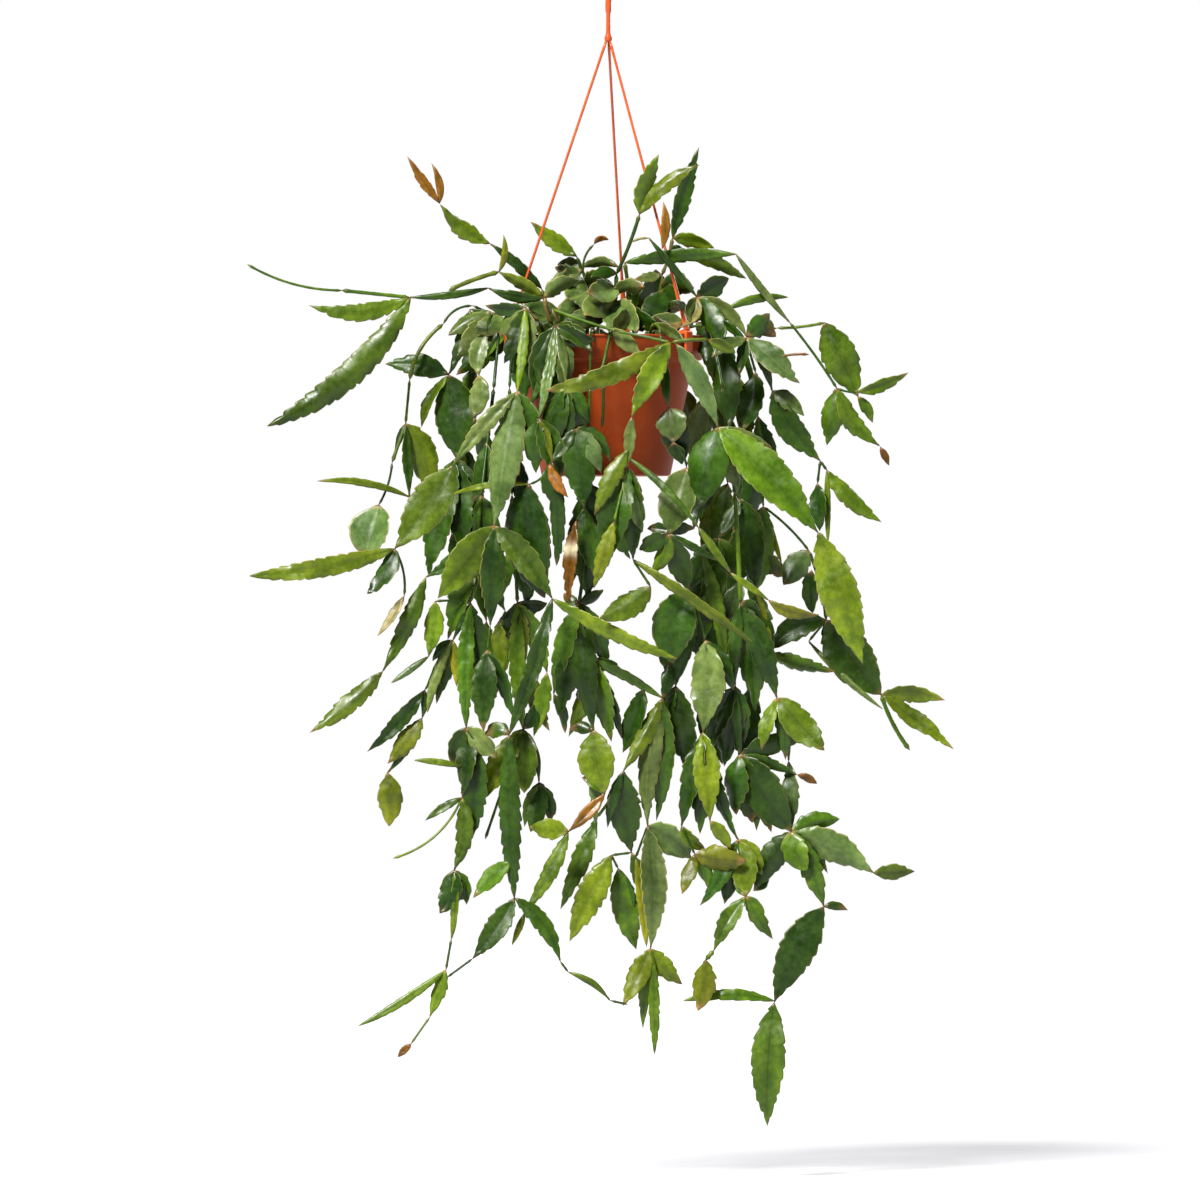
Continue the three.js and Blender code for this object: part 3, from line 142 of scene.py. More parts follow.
# Each shoot is a list of its runs of joined links, the first of which grows out of the soil. A run
# is its start, then for each link the point of its tip x, y, z, its width, its bow to the left of
# its travel, its roll in degrees from facing the front, and its tone.
SHOOTS = {
    "shoot_left_reach": [
        [[-34, -22, -8], [-40, -30, 8, 4, 0, 0, 1], [-46, -36, 28, 5, 1, 0, 6],
          [-88, -38, 35, 9, 3, 0, 0], [-147, -40, 28, 6, 2, 0, 0], [-197, -46, 33, 4.4, 0, 0, 1],
          [-267, -56, 52, 3, 5, 0, 1]],
        [[-147, -40, 28], [-222, -50, 23, 14, 9, 20, 2]],
        [[-146, -40, 28], [-253, -64, -68, 20, 13, 12, 1]],
        [[-47, -36, 29], [-80, -42, 47, 11, 0, -20, 2], [-117, -50, 33, 5, -1, 0, 2]],
        [[-80, -42, 47], [-77, -44, 75, 5.4, -3, 30, 4]],
    ],
    "shoot_upper_left": [
        [[-36, 0, -8], [-42, -4, 14, 4, 0, 0, 1], [-48, -5, 35, 4.4, 0, 0, 0],
          [-87, -8, 69, 10, -2, 25, 0], [-124, -14, 98, 14, 3, 15, 2]],
        [[-42, -4, 14], [-66, -2, 26, 14, -3, 40, 3]],
        [[-42.4, -4.4, 13.6], [-77, -17, 7, 19, 0, 25, 3]],
    ],
    "shoot_front_cross": [
        [[-28, -42, -8], [-34, -48, 6, 4, 0, 0, 1], [-40, -54, 19, 4.4, 0, 0, 6],
          [8, -86, 2, 3.6, -1, 0, 1], [48, -95, -7, 3.6, 0, 0, 1], [76, -96, -5, 4, 1, 0, 2],
          [96, -100, -15, 10, 1, 20, 2]],
        [[48, -95, -7], [-45, -104, -43, 16, 6, 10, 2]],
        [[48, -95, -7], [19, -106, -62, 18, -2, -15, 2], [16, -103, -99, 9, 0, 10, 3],
          [0, -106, -172, 26, -2, 8, 0]],
        [[52, -96, -8], [83, -100, -70, 17, 3, 25, 3], [157, -112, -148, 32, 2, -18, 1],
          [190, -118, -246, 30, 0, 10, 2]],
        [[83, -100, -70], [124, -100, -86, 8, 2, 10, 3]],
        [[83, -100, -70], [72, -106, -128, 32, -3, 14, 0]],
        [[83, -100, -70], [98, -94, -119, 20, 3, -20, 3]],
        [[157, -112, -148], [179, -106, -173, 5, 0, 0, 1]],
        [[16, -103, -92], [68, -121, -144, 5.6, 3, 0, 1], [92, -124, -178, 6, 0, 0, 2],
          [120, -126, -198, 5.4, 0, 0, 2], [158, -130, -209, 10, -4, 20, 4]],
        [[16, -103, -99], [27, -100, -148, 17, -2, -28, 3]],
        [[16, -103, -99], [20, -92, -168, 20, 1, 18, 0], [108, -108, -231, 9, 1, 10, 2]],
        [[17, -105, -86], [-9, -114, -136, 14, -2, 12, 2]],
        [[16, -103, -99], [6, -112, -140, 3, 0, 0, 1], [-10, -114, -190, 13, 0, 15, 4]],
        [[20, -92, -168], [33, -96, -188, 3, 0, 0, 0], [-5, -108, -212, 20, 3, 12, 2]],
    ],
    "shoot_right_top": [
        [[44, -12, -8], [58, -28, 10, 4, 0, 0, 1], [68, -45, 28, 5, 1, 0, 0],
          [32, -48, 72, 5.6, 0, 0, 0], [19, -50, 69, 2.6, -1, 0, 6]],
        [[68, -45, 28], [92, -44, 42, 17, 1, 20, 0]],
        [[68, -45, 28], [105, -48, -2, 11, 6, 10, 3], [127, -44, -2, 17, 6, 12, 0]],
        [[105.3, -48.7, -2.5], [144, -54, -37, 20, 0, -10, 3]],
        [[105, -48, -2], [99, -52, -31, 12, 1, 20, 0]],
        [[104.8, -47.4, -2.6], [124, -38, -42, 9, 3, 0, 0], [160, -36, -94, 22, -3, 15, 0],
          [165, -34, -101, 3, 0, 0, 0], [207, -38, -139, 15, -3, -15, 2]],
        [[124, -38, -42], [148, -46, -61, 13, 2, 10, 3]],
        [[160, -36, -94], [158, -37, -111, 2.8, 0, 0, 0], [159, -39, -147, 15, 0, 10, 0]],
        [[165, -34, -101], [166, -33, -156, 5.4, 0, 20, 2]],
        [[104.4, -47.6, -1], [128, -42, 5, 2.6, 1, 0, 1], [163, -40, 9, 3.4, -1, 0, 2],
          [188, -44, -46, 27, 0, 10, 1], [199, -46, -66, 9, 1, 10, 1]],
        [[128, -53, -17], [151, -56, -15, 3, 1, 0, 5]],
        [[90, -48.4, 18.6], [137, -42, 27, 7, 4, 15, 1]],
        [[68, -45, 28], [87, -60, -8, 18, 2, 15, 0]],
        [[105, -49, -3], [78, -62, -17, 11, -2, 20, 3]],
        [[105.7, -48.1, -1.1], [122, -52, 16, 14, 0, 10, 0]],
    ],
    "shoot_right_strap": [
        [[22, -6, -8], [18, -18, 28, 4, 0, 0, 1], [14, -32, 54, 4.4, 0, 0, 1],
          [97, -47, 60, 11, 2, 10, 1], [137, -50, 9, 6, -1, 0, 3], [172, -52, -40, 3, 1, 0, 0],
          [164, -56, -83, 18, 0, 15, 1]],
        [[172, -52, -40], [204, -50, -83, 15, -5, -15, 1]],
        [[172, -52, -40], [187, -50, -43, 2.6, -1, 0, 0], [226, -44, -28, 10, -2, 10, 2]],
        [[60, -43, 61], [105, -38, 41, 14, 1, 28, 2]],
    ],
    "shoot_upright": [
        [[4, -14, -8], [8, -22, 46, 4.2, 0, 0, 1], [25, -34, 90, 4.2, -1, 0, 0],
          [39, -38, 135, 15, 2, 20, 2]],
        [[25, -34, 90], [70, -40, 128, 13, 5, -10, 2]],
        [[7, -20, 36], [-24, -34, 24, 21, 3, 35, 3]],
        [[6, -18, 24], [-34, -62, 8, 18, 2, 20, 3]],
        [[7, -20, 30], [28, -44, 35, 15, 3, 30, 3]],
        [[8, -22, 46], [-12, -38, 42, 10, -3, 30, 0]],
        [[6, -18, 24], [24, -44, 12, 15, -3, 25, 3]],
    ],
    "shoot_upright_right": [
        [[34, 20, -8], [42, 16, 46, 4, 0, 0, 1], [50, 12, 74, 4, -1, 0, 6], [71, 18, 142, 14, 2, 20, 0]],
        [[50, 12, 74], [82, 8, 66, 13, 2, 28, 2]],
        [[47, 13, 64], [63, 22, 62, 12, 0, 10, 0]],
        [[42, 16, 46], [20, 6, 42, 10, 0, 40, 3]],
        [[41, 16, 40], [66, 4, 36, 18, 0, 30, 0]],
        [[41, 16, 34], [54, -10, 24, 20, 0, 30, 0]],
    ],
    "shoot_crown": [
        [[-14, 14, -8], [-14, 14, 40, 4.4, 0, 0, 1], [-22, 12, 60, 4, 0, 0, 0],
          [-57, 10, 86, 14, 0, 15, 2]],
        [[-17, 13, 48], [-9, 10, 69, 2.6, 3, 0, 3]],
        [[-18, 13, 50], [-38, 0, 52, 14, 3, 30, 3]],
        [[-18, 13, 52], [10, 6, 51, 9, 4, 25, 3]],
        [[-14, 14, 40], [-44, -4, 38, 11, -2, 30, 3]],
        [[-14, 14, 30], [-36, -8, 20, 17, 2, 30, 3]],
        [[-14, 14, 40], [4, 34, 44, 14, 3, 50, 3]],
        [[-14, 14, 40], [-30, -16, 38, 14, -2, 30, 3]],
        [[-18.4, 12.6, 50.4], [-43, 14, 35, 19, 0, 20, 3]],
        [[-17.6, 13.4, 48.4], [-37, 22, 55, 12, -2, 30, 3]],
    ],
    "shoot_left_arch": [
        [[-42, 18, -8], [-54, 20, 8, 3.6, 0, 0, 1], [-86, 14, 17, 3, 3, 0, 0],
          [-100, 8, 23, 2.8, 0, 0, 0], [-122, -2, 9, 2.8, -4, 0, 0], [-147, -14, -33, 4.4, -5, 0, 2],
          [-150, -18, -66, 3, 0, 0, 1], [-160, -22, -95, 4, 0, 0, 3], [-170, -26, -127, 2.6, 2, 0, 0],
          [-180, -32, -168, 33, 0, 15, 3]],
        [[-150, -18, -66], [-133, -16, -118, 23, 4, 20, 2]],
        [[-150, -18, -66], [-147, -24, -121, 9, 0, -20, 0], [-216, -34, -110, 6, -5, 20, 2]],
        [[-150, -18, -66], [-159, -10, -87, 6, 0, 20, 0]],
    ],
    "shoot_left_curtain": [
        [[-50, 8, -8], [-62, 8, 10, 3.6, 0, 0, 1], [-86, 0, 18, 3.4, 2, 0, 0],
          [-112, -14, -16, 21, 3, 15, 3]],
        [[-80, 2, 17], [-98, -26, 3, 18, 3, 20, 3]],
        [[-86, 0, 18], [-102, 2, 20, 3, 0, 0, 0], [-118, -4, -29, 13, 3, 30, 0],
          [-166, 2, -21, 18, -3, 10, 0]],
        [[-118, -4.4, -29.4], [-112, -12, -92, 33, 2, 10, 0]],
        [[-117.6, -3.3, -29.8], [-139, -6, -69, 11, -4, 30, 2]],
        [[-86, 0, 18], [-90, -20, 2, 3, 0, 0, 0], [-95, -30, -30, 15, -3, 15, 3],
          [-99, -34, -62, 17, 2, 15, 3]],
        [[-112, -12, -92], [-104, -18, -152, 26, 2, 10, 0]],
        [[-112, -12, -92], [-128, -10, -144, 18, -2, 20, 1]],
        [[-99, -34, -62], [-88, -22, -108, 16, 2, 20, 0]],
        [[-112.4, -12.4, -91.6], [-134, -23, -181, 25, -2, 10, 0]],
        [[-111.6, -11.6, -92.4], [-106, -20, -166, 22, 0, 12, 0]],
    ],
    "shoot_left_strap": [
        [[-42, -34, -8], [-50, -46, 10, 4, 0, 0, 1], [-60, -58, 20, 4, 1, 0, 6],
          [-66, -76, -43, 8, 1, 10, 2], [-114, -80, -98, 13, -2, 15, 3], [-157, -86, -160, 31, 2, 10, 2],
          [-265, -98, -180, 15, 4, 12, 2]],
        [[-157, -86, -160], [-177, -92, -194, 17, 4, 20, 0]],
        [[-157, -86, -160], [-150, -84, -195, 2.8, 3, 0, 0], [-170, -88, -225, 8, 1, 20, 6]],
        [[-66, -76, -43], [-83, -86, -143, 26, -1, 12, 3], [-125, -92, -197, 28, 0, -12, 2]],
        [[-83, -86, -143], [-40, -94, -197, 20, 3, 15, 1], [53, -102, -241, 12, -4, 10, 2]],
        [[-83, -86, -143], [-86, -90, -217, 20, 0, -15, 0], [-88, -88, -235, 2.6, 0, 0, 0],
          [-91, -94, -296, 20, -1, 15, 0]],
        [[-88, -88, -235], [-69, -84, -286, 12, 2, 25, 0]],
        [[-83, -86, -143], [-134, -76, -181, 16, 3, 20, 0], [-166, -80, -251, 14, 2, -10, 1],
          [-220, -88, -297, 15, 2, 10, 2]],
        [[-40, -94, -197], [-72, -98, -298, 13, 2, 10, 0], [-68, -98, -419, 17, -2, 10, 0],
          [-99, -100, -464, 18, 2, 10, 0], [-118, -99, -478, 2.6, 0, 0, 0]],
        [[-68, -98, -419], [-34, -100, -466, 14, 6, -12, 1], [-28, -100, -474, 2.6, 0, 0, 0],
          [3, -102, -495, 6, 3, 20, 2], [16, -100, -498, 2.6, 0, 0, 0]],
        [[-70, -99, -392], [-99, -104, -419, 14, -2, 15, 1]],
        [[-60.4, -57.6, 19.6], [-62, -60, -27, 16, 2, 15, 3]],
    ],
    "shoot_front_left": [
        [[-18, -38, -8], [-28, -52, -2, 3.6, 0, 0, 1], [-38, -68, 6, 3.6, 0, 0, 1],
          [-50, -84, -63, 9, 2, 15, 3], [-40, -88, -95, 8, 1, 15, 4]],
        [[-38, -68, 6], [-30, -85, -38, 8, 2, -15, 3], [-23, -86, -70, 3, 0, 0, 1],
          [-42, -88, -97, 10, 1, 15, 0], [-57, -78, -112, 2.6, 3, 0, 0],
          [-117, -60, -119, 5.4, -3, 20, 2]],
        [[-23, -86, -70], [-3, -92, -104, 15, 2, -15, 3]],
        [[-23, -86, -70], [-16, -90, -130, 24, 0, 12, 0]],
        [[-23, -86, -70], [3, -84, -96, 12, 5, 20, 0]],
        [[-42, -88, -97], [-28, -96, -122, 9, -2, 10, 5]],
        [[-42, -88, -97], [-32, -84, -131, 13, -4, 15, 0]],
        [[-38, -68, 6], [-8, -82, -5, 15, -3, 15, 0]],
        [[-38, -68, 6], [-31, -73, -44, 16, -2, 25, 0]],
        [[-38, -68, 6], [-57, -74, -54, 13, 2, 25, 0]],
        [[-30, -85, -38], [-13, -84, -67, 12, 2, 15, 0]],
        [[-30, -85, -38], [-41, -80, -79, 13, -2, 20, 0]],
        [[-57, -78, -112], [-45, -74, -196, 36, -8, 8, 0]],
        [[-16, -90, -130], [-22, -86, -139, 3, 0, 0, 0], [-28, -90, -202, 14, -2, 25, 5]],
        [[-38.4, -68.4, 5.6], [-45, -74, -54, 22, 2, 10, 0]],
    ],
    "shoot_front_mid": [
        [[2, -42, -8], [6, -58, 2.6, 3.2, 0, 0, 1], [4, -76, 4.6, 3.2, 0, 0, 1],
          [-3, -83, -28, 4, 0, 0, 0], [-3, -80, -70, 3.4, 1, 0, 0]],
        [[4, -76, 4.6], [27, -84, -16, 13, -1, 20, 3]],
        [[6, -56, 1], [14, -66, 20, 13, -2, 15, 3]],
    ],
    "shoot_front_right": [
        [[30, -42, -8], [35, -60, 8, 3.2, 0, 0, 1], [40, -80, 0, 3.2, 2, 0, 1],
          [46, -86, -24, 3.6, 0, 0, 0], [47, -90, -55, 7, -2, 20, 0], [50, -94, -81, 24, 1, 12, 3],
          [60, -91, -100, 2.6, 2, 0, 0], [47, -98, -149, 30, 0, 10, 3], [62, -84, -192, 19, 0, 12, 0],
          [74, -84, -228, 3, 1, 0, 0], [72, -90, -296, 28, 2, 10, 3], [77, -98, -362, 21, 1, 12, 2]],
        [[50, -94, -81], [57, -86, -96, 13, -1, 15, 0]],
        [[35, -60, 8], [60, -84, -8, 9, 2, 10, 3]],
        [[47, -98, -149], [83, -98, -169, 6, 0, 10, 0]],
        [[47, -98, -149], [33, -92, -179, 14, 2, 15, 2]],
        [[77, -98, -362], [93, -92, -384, 11, 1, 15, 2]],
        [[74, -84, -228], [95, -84, -266, 14, 2, 15, 0]],
        [[62, -84, -192], [50, -88, -246, 33, -6, 12, 0]],
        [[72, -90, -296], [56, -86, -366, 18, 0, 15, 0], [66, -90, -387, 2.6, 0, 0, 0],
          [104, -98, -392, 20, -1, 15, 4]],
        [[66, -90, -387], [56, -98, -416, 12, 0, 10, 4]],
        [[72, -90, -296], [98, -86, -376, 14, -4, 20, 0], [104, -92, -418, 22, 1, 10, 2],
          [80, -96, -458, 14, -2, 12, 1], [74, -96, -465, 5, 0, 0, 2], [68, -98, -503, 18, 1, 15, 4]],
        [[98, -86, -376], [116, -84, -402, 14, 2, 15, 2]],
        [[98, -86, -376], [69, -88, -425, 14, 3, 15, 0]],
        [[104, -92, -418], [124, -88, -450, 12, -1, 10, 1]],
        [[46.6, -97.6, -149.4], [24, -93, -161, 14, 0, 10, 0]],
        [[72.4, -89.6, -296.4], [70, -84, -372, 22, 0, 12, 0]],
        [[98.4, -86.4, -375.6], [88, -84, -424, 20, 0, 12, 0]],
    ],
    "shoot_right_curtain": [
        [[52, 4, -8], [64, 2, 10, 3.6, 0, 0, 1], [80, -8, 14, 3.2, 1, 0, 0],
          [88, -26, -10, 12, 1, 15, 3], [92, -36, -70, 24, 0, 15, 0], [100, -44, -122, 14, 0, 15, 0],
          [112, -48, -192, 22, 2, 15, 0]],
        [[80, -8, 14], [106, -18, -6, 7, 2, 20, 0], [112, -22, -28, 3, 0, 0, 0],
          [102, -30, -71, 20, 2, 15, 0]],
        [[100, -44, -122], [84, -52, -152, 13, 1, 15, 0], [99, -58, -184, 17, 0, 15, 1]],
        [[84, -52, -152], [62, -62, -192, 18, -2, 12, 0]],
        [[84, -52, -152], [72, -66, -164, 3, 0, 0, 0], [89, -70, -247, 12, 2, 15, 1]],
        [[99, -58, -184], [86, -58, -214, 17, 2, 15, 3]],
        [[112, -48, -192], [124, -50, -231, 5.4, 1, 20, 4]],
        [[92, -36, -70], [66, -48, -146, 24, -2, 15, 0]],
        [[84, -52, -152], [73, -58, -230, 20, 0, 15, 1]],
        [[100, -44, -122], [117, -46, -166, 15, 2, 15, 1]],
        [[62.3, -62.3, -191.6], [52, -66, -262, 30, -5, 12, 0], [61, -66, -328, 22, 0, 15, 0]],
    ],
    "shoot_right_mid": [
        [[52, 18, -8], [66, 20, 12, 3.6, 0, 0, 1], [92, 12, 12, 3.2, 3, 0, 0],
          [114, 4, -60, 5.6, 4, 20, 0], [118, 0, -128, 6, 0, 20, 1], [152, -6, -161, 3, 2, 0, 0],
          [165, -12, -213, 4, 2, 0, 0], [206, -18, -269, 35, -2, 10, 0], [254, -22, -273, 14, 3, 12, 2]],
        [[118, 0, -128], [132, 2, -171, 5.4, 0, 20, 4]],
        [[116, 2, -94], [95, 8, -150, 24, 2, -15, 0]],
        [[118, 0, -128], [92, 8, -198, 26, -2, 15, 0]],
        [[118, 0, -128], [108, -8, -200, 24, 2, -15, 1]],
        [[114, 4, -60], [130, 6, -104, 15, -2, 15, 0]],
        [[118, 0, -128], [117, -2, -164, 3, 0, 0, 0], [134, -4, -181, 14, 0, 10, 3]],
        [[152, -6, -161], [133, -12, -187, 20, -1, 12, 3]],
        [[154, -7, -176], [155, -4, -208, 14, -1, 15, 0]],
        [[165, -12, -213], [121, -22, -238, 20, -6, 15, 0], [172, -18, -251, 13, -2, 15, 1]],
        [[165, -12, -213], [152, -4, -229, 2.8, 0, 0, 3], [207, -30, -280, 5.4, -2, 10, 3]],
        [[206, -18, -269], [260, -26, -310, 14, 1, -12, 2]],
        [[206, -18, -269], [227, -20, -310, 5, -2, 10, 1]],
    ],
    "shoot_lower_right": [
        [[42, -24, -8], [58, -32, 4, 3.2, 0, 0, 1], [74, -38, 7, 3.2, 1, 0, 1],
          [86, -64, -40, 3.6, 2, 0, 0], [96, -76, -120, 4.4, 0, 0, 0], [100, -78, -200, 5, 0, 0, 1],
          [127, -80, -271, 20, 2, 12, 0], [162, -86, -310, 24, 0, -10, 2]],
        [[127, -80, -271], [115, -84, -310, 12, -2, 10, 2]],
        [[100, -78, -200], [96, -76, -262, 11, -2, 15, 0], [100, -74, -313, 8, -1, 15, 0],
          [138, -80, -370, 33, -2, 12, 0], [150, -86, -399, 21, -3, 10, 1]],
        [[100, -74, -313], [147, -70, -301, 17, 1, 20, 0]],
        [[100, -74, -313], [142, -70, -328, 9, 1, 15, 0]],
        [[100, -74, -313], [96, -80, -358, 20, -3, 12, 0]],
        [[127, -80, -271], [136, -66, -318, 6, 2, 10, 0], [139, -72, -368, 13, 0, 20, 3]],
        [[138, -80, -370], [174, -76, -361, 16, 2, 12, 1]],
        [[138, -80, -370], [110, -73, -414, 20, -2, 10, 0]],
        [[138, -80, -370], [199, -74, -401, 24, 3, 12, 3], [230, -74, -400, 13, 0, 10, 2]],
        [[138, -80, -370], [162, -78, -426, 18, 2, 12, 1], [125, -84, -497, 28, -3, 10, 0],
          [119, -88, -590, 26, -2, 8, 1]],
        [[138, -80, -370], [165, -70, -402, 10, 3, 15, 0]],
        [[100, -74, -313], [123, -62, -372, 20, 2, 15, 2]],
        [[96, -76, -262], [76, -66, -312, 17, -2, 15, 0]],
        [[162, -78, -426], [180, -76, -429, 7, 2, 15, 0]],
        [[125, -84, -496], [57, -88, -496, 9, -5, 20, 1]],
        [[99.6, -77.6, -200.4], [111, -68, -281, 24, 2, 12, 0]],
        [[100.4, -74.4, -312.6], [109, -67, -364, 24, 0, 15, 0]],
        [[96.4, -75.6, -262.4], [88, -66, -322, 22, 0, 12, 0]],
    ],
    "shoot_lower_left": [
        [[-50, -4, -8], [-62, -5, 6, 3.2, 0, 0, 1], [-80, -10, 5, 3.2, 1, 0, 1],
          [-84, -26, -40, 3.6, 0, 0, 0], [-93, -54, -120, 4, 0, 0, 0], [-101, -66, -200, 5, 0, 0, 1],
          [-104, -70, -293, 13, -2, 10, 1], [-107, -72, -345, 17, 2, 15, 0],
          [-113, -74, -399, 15, 4, 10, 1], [-124, -78, -431, 18, 3, 15, 0]],
        [[-104, -70, -293], [-81, -76, -316, 16, 1, 12, 3]],
        [[-107, -73, -322], [-143, -76, -317, 5.4, -1, 20, 2]],
        [[-107, -72, -345], [-135, -78, -362, 7, -1, 15, 1]],
        [[-97.5, -60.8, -165], [-108, -58, -207, 13, 1, 20, 2]],
        [[-114, -64, -228], [-127, -56, -276, 12, -1, 15, 0]],
        [[-114, -64, -228], [-112, -66, -263, 9, 1, 10, 4]],
        [[-89, -40, -80], [-100, -44, -126, 16, 2, 20, 0]],
        [[-107, -72, -345], [-158, -80, -390, 2.8, 8, 0, 2]],
        [[-113, -74, -399], [-106, -70, -421, 17, -3, 15, 0]],
        [[-113, -74, -399], [-115, -80, -450, 7, 2, 15, 2], [-119, -80, -473, 2.8, 0, 0, 3],
          [-184, -84, -515, 7, 2, 12, 2]],
        [[-119, -80, -473], [-131, -78, -508, 11, 0, 15, 2], [-145, -76, -528, 2.6, 0, 0, 3],
          [-155, -75, -538, 6, 0, 20, 5]],
        [[-101, -66, -200], [-114, -64, -228, 6, 0, 20, 0], [-135, -62, -265, 8, 1, 20, 0],
          [-178, -66, -311, 12, 2, 10, 0]],
        [[-114, -64, -228], [-133, -72, -282, 8, -3, 10, 3]],
        [[-135, -62, -265], [-137, -60, -286, 6, 1, 20, 0], [-163, -66, -320, 15, 1, 10, 4]],
        [[-137, -60, -286], [-163, -56, -327, 8, 2, 20, 0], [-162, -58, -367, 19, 1.5, 12, 4]],
        [[-101, -66, -200], [-127, -72, -199, 2.8, -1, 0, 0], [-132, -74, -240, 15, 1, 12, 2],
          [-160, -78, -260, 5.4, 0, 15, 3]],
        [[-103.6, -69.6, -292.6], [-106, -65, -386, 20, 7, 12, 0]],
        [[-100.6, -66.4, -200.4], [-93, -62, -263, 18, 0, 12, 0]],
        [[-97.9, -60.4, -165.4], [-119, -60, -228, 18, 0, 20, 1]],
        [[-93.4, -54.4, -120.4], [-84, -50, -170, 23, 0, 10, 0]],
    ],
    "shoot_centre_low": [
        [[-8, -48, -8], [-9, -62, 4, 3.2, 0, 0, 1], [-11, -78, 4, 3, 0, 0, 1],
          [-12, -76, -40, 3, 0, 0, 0], [-14, -72, -110, 3, 0, 0, 0], [-20, -76, -200, 4, 2, 0, 0],
          [-9, -80, -295, 22, -3, 12, 0], [-1, -84, -342, 28, -2, 10, 2], [-28, -88, -370, 10, 1, 12, 5],
          [-57, -92, -367, 16, -1, 15, 2]],
        [[-28, -88, -370], [-60, -90, -430, 13, 2, 12, 2], [-70, -92, -455, 5.4, 0, 15, 4]],
        [[-16, -73, -128], [-5, -79, -184, 18, -2, 12, 0]],
        [[-20, -76, -200], [-39, -68, -268, 16, -2, 15, 1]],
        [[-10, -74, -242], [-28, -64, -300, 15, 2, 15, 2]],
        [[-10, -74, -242], [4, -68, -304, 17, 1, 15, 1]],
        [[-9, -80, -295], [-7, -70, -366, 14, 1, 20, 3]],
        [[19, -66, -386], [32, -60, -428, 13, 1, 20, 0]],
        [[-20, -76, -200], [-10, -74, -242, 3, 2, 0, 0], [42, -74, -271, 8, 1, 15, 1],
          [31, -74, -366, 18, -5, 12, 3], [33, -76, -457, 20, 4, 10, 3], [36, -78, -536, 9, 1, 15, 1]],
        [[42, -74, -271], [13, -82, -325, 14, 1, 12, 2], [19, -66, -386, 25, -2, 12, 0]],
        [[28, -74, -264], [12, -64, -312, 19, 1, 20, 0]],
        [[31, -74, -366], [63, -72, -391, 24, 2, 12, 3]],
        [[31, -74, -366], [22, -66, -390, 2.8, 0, 0, 0], [30, -66, -457, 8, 1, 15, 4]],
        [[33, -76, -457], [13, -80, -500, 17, 0, 12, 4]],
        [[33, -76, -457], [57, -76, -484, 15, -2, 12, 2]],
        [[33, -76, -457], [27, -70, -518, 10, -1, 15, 1]],
        [[19, -66, -386], [4, -68, -388, 2.8, 0, 0, 1], [-27, -74, -452, 22, -1, 10, 2]],
        [[4, -68, -388], [9, -60, -398, 2.8, 0, 0, 1], [22, -58, -460, 21, -1, 12, 1]],
        [[13, -82, -325], [-7, -60, -360, 3.4, 2, 0, 1], [-35, -62, -429, 15, 1, 12, 1]],
        [[-20.4, -75.6, -200.4], [-33, -69, -286, 23, -1, 12, 0]],
        [[-13.6, -71.6, -110.4], [-24, -66, -184, 22, 0, 12, 0]],
        [[-15.6, -72.6, -128.4], [-14, -67, -200, 22, 0, 12, 0]],
        [[-19.6, -75.6, -200.4], [2, -68, -247, 20, 0, 12, 0]],
        [[-13.4, -72.4, -110.6], [18, -70, -168, 22, 0, 12, 0]],
    ],
    "shoot_left_low": [
        [[-50, -22, -8], [-60, -36, 6, 3.2, 0, 0, 1], [-69, -46, 3, 3.2, 1, 0, 1],
          [-72, -56, -40, 3, 0, 0, 0], [-70, -58, -120, 3.4, 0, 0, 0], [-66, -60, -200, 4, 0, 0, 0],
          [-62, -60, -294, 13, -2, 15, 1], [-94, -62, -350, 20, -2, 12, 2]],
        [[-66, -60, -200], [-60, -54, -246, 19, -3, 15, 2]],
        [[-60, -54, -246], [-42, -52, -296, 15, -2, 15, 2]],
        [[-69, -46, 3], [-62, -57, -52, 18, 2, 20, 0]],
        [[-71, -57, -86], [-62, -60, -136, 15, 2, 20, 0]],
        [[-68, -59, -160], [-80, -56, -200, 13, -2, 15, 1]],
        [[-66, -60, -200], [-80, -58, -214, 3, 0, 0, 0], [-76, -62, -252, 13, -1, 12, 2]],
        [[-66, -60, -200], [-44, -56, -252, 18, 3, 15, 1], [-54, -54, -300, 13, 1, 10, 2]],
        [[-62, -60, -294], [-61, -66, -342, 22, 1, 12, 1]],
        [[-62, -60, -294], [-50, -56, -334, 7, 3, 15, 0], [-56, -58, -371, 17, 1, 12, 0]],
        [[-62, -60, -294], [-90, -56, -376, 3.2, 0, 0, 1]],
        [[-70.4, -57.6, -120.4], [-58, -53, -206, 24, 2, 15, 0]],
    ],
    "shoot_back_right": [
        [[42, 34, -8], [54, 42, 10, 3.6, 0, 0, 1], [68, 54, 12, 3.4, 1, 0, 1],
          [84, 62, -40, 14, 3, -20, 1], [92, 62, -110, 20, 1, 20, 0], [88, 58, -180, 22, -2, -15, 1],
          [96, 52, -250, 24, 2, 20, 0]],
        [[68, 54, 12], [100, 40, -30, 18, 3, -35, 0], [108, 34, -90, 16, 1, 30, 1],
          [104, 30, -150, 20, -2, -25, 3]],
        [[84, 62, -40], [64, 74, -92, 22, -3, -15, 3]],
        [[92, 62, -110], [72, 70, -160, 18, -2, 15, 2], [66, 66, -224, 20, 2, 15, 0]],
    ],
    "shoot_back_mid_right": [
        [[26, 46, -8], [34, 58, 12, 3.6, 0, 0, 1], [40, 74, 10, 3.4, 1, 0, 1],
          [46, 90, -34, 20, 2, 15, 3], [38, 94, -96, 26, -2, -15, 0]],
        [[40, 74, 10], [56, 78, -36, 15, 3, 30, 1], [70, 84, -88, 18, 2, 25, 2]],
        [[34, 58, 12], [14, 62, 26, 16, 3, 40, 3]],
        [[34, 58, 12], [58, 50, 22, 16, 3, 40, 3]],
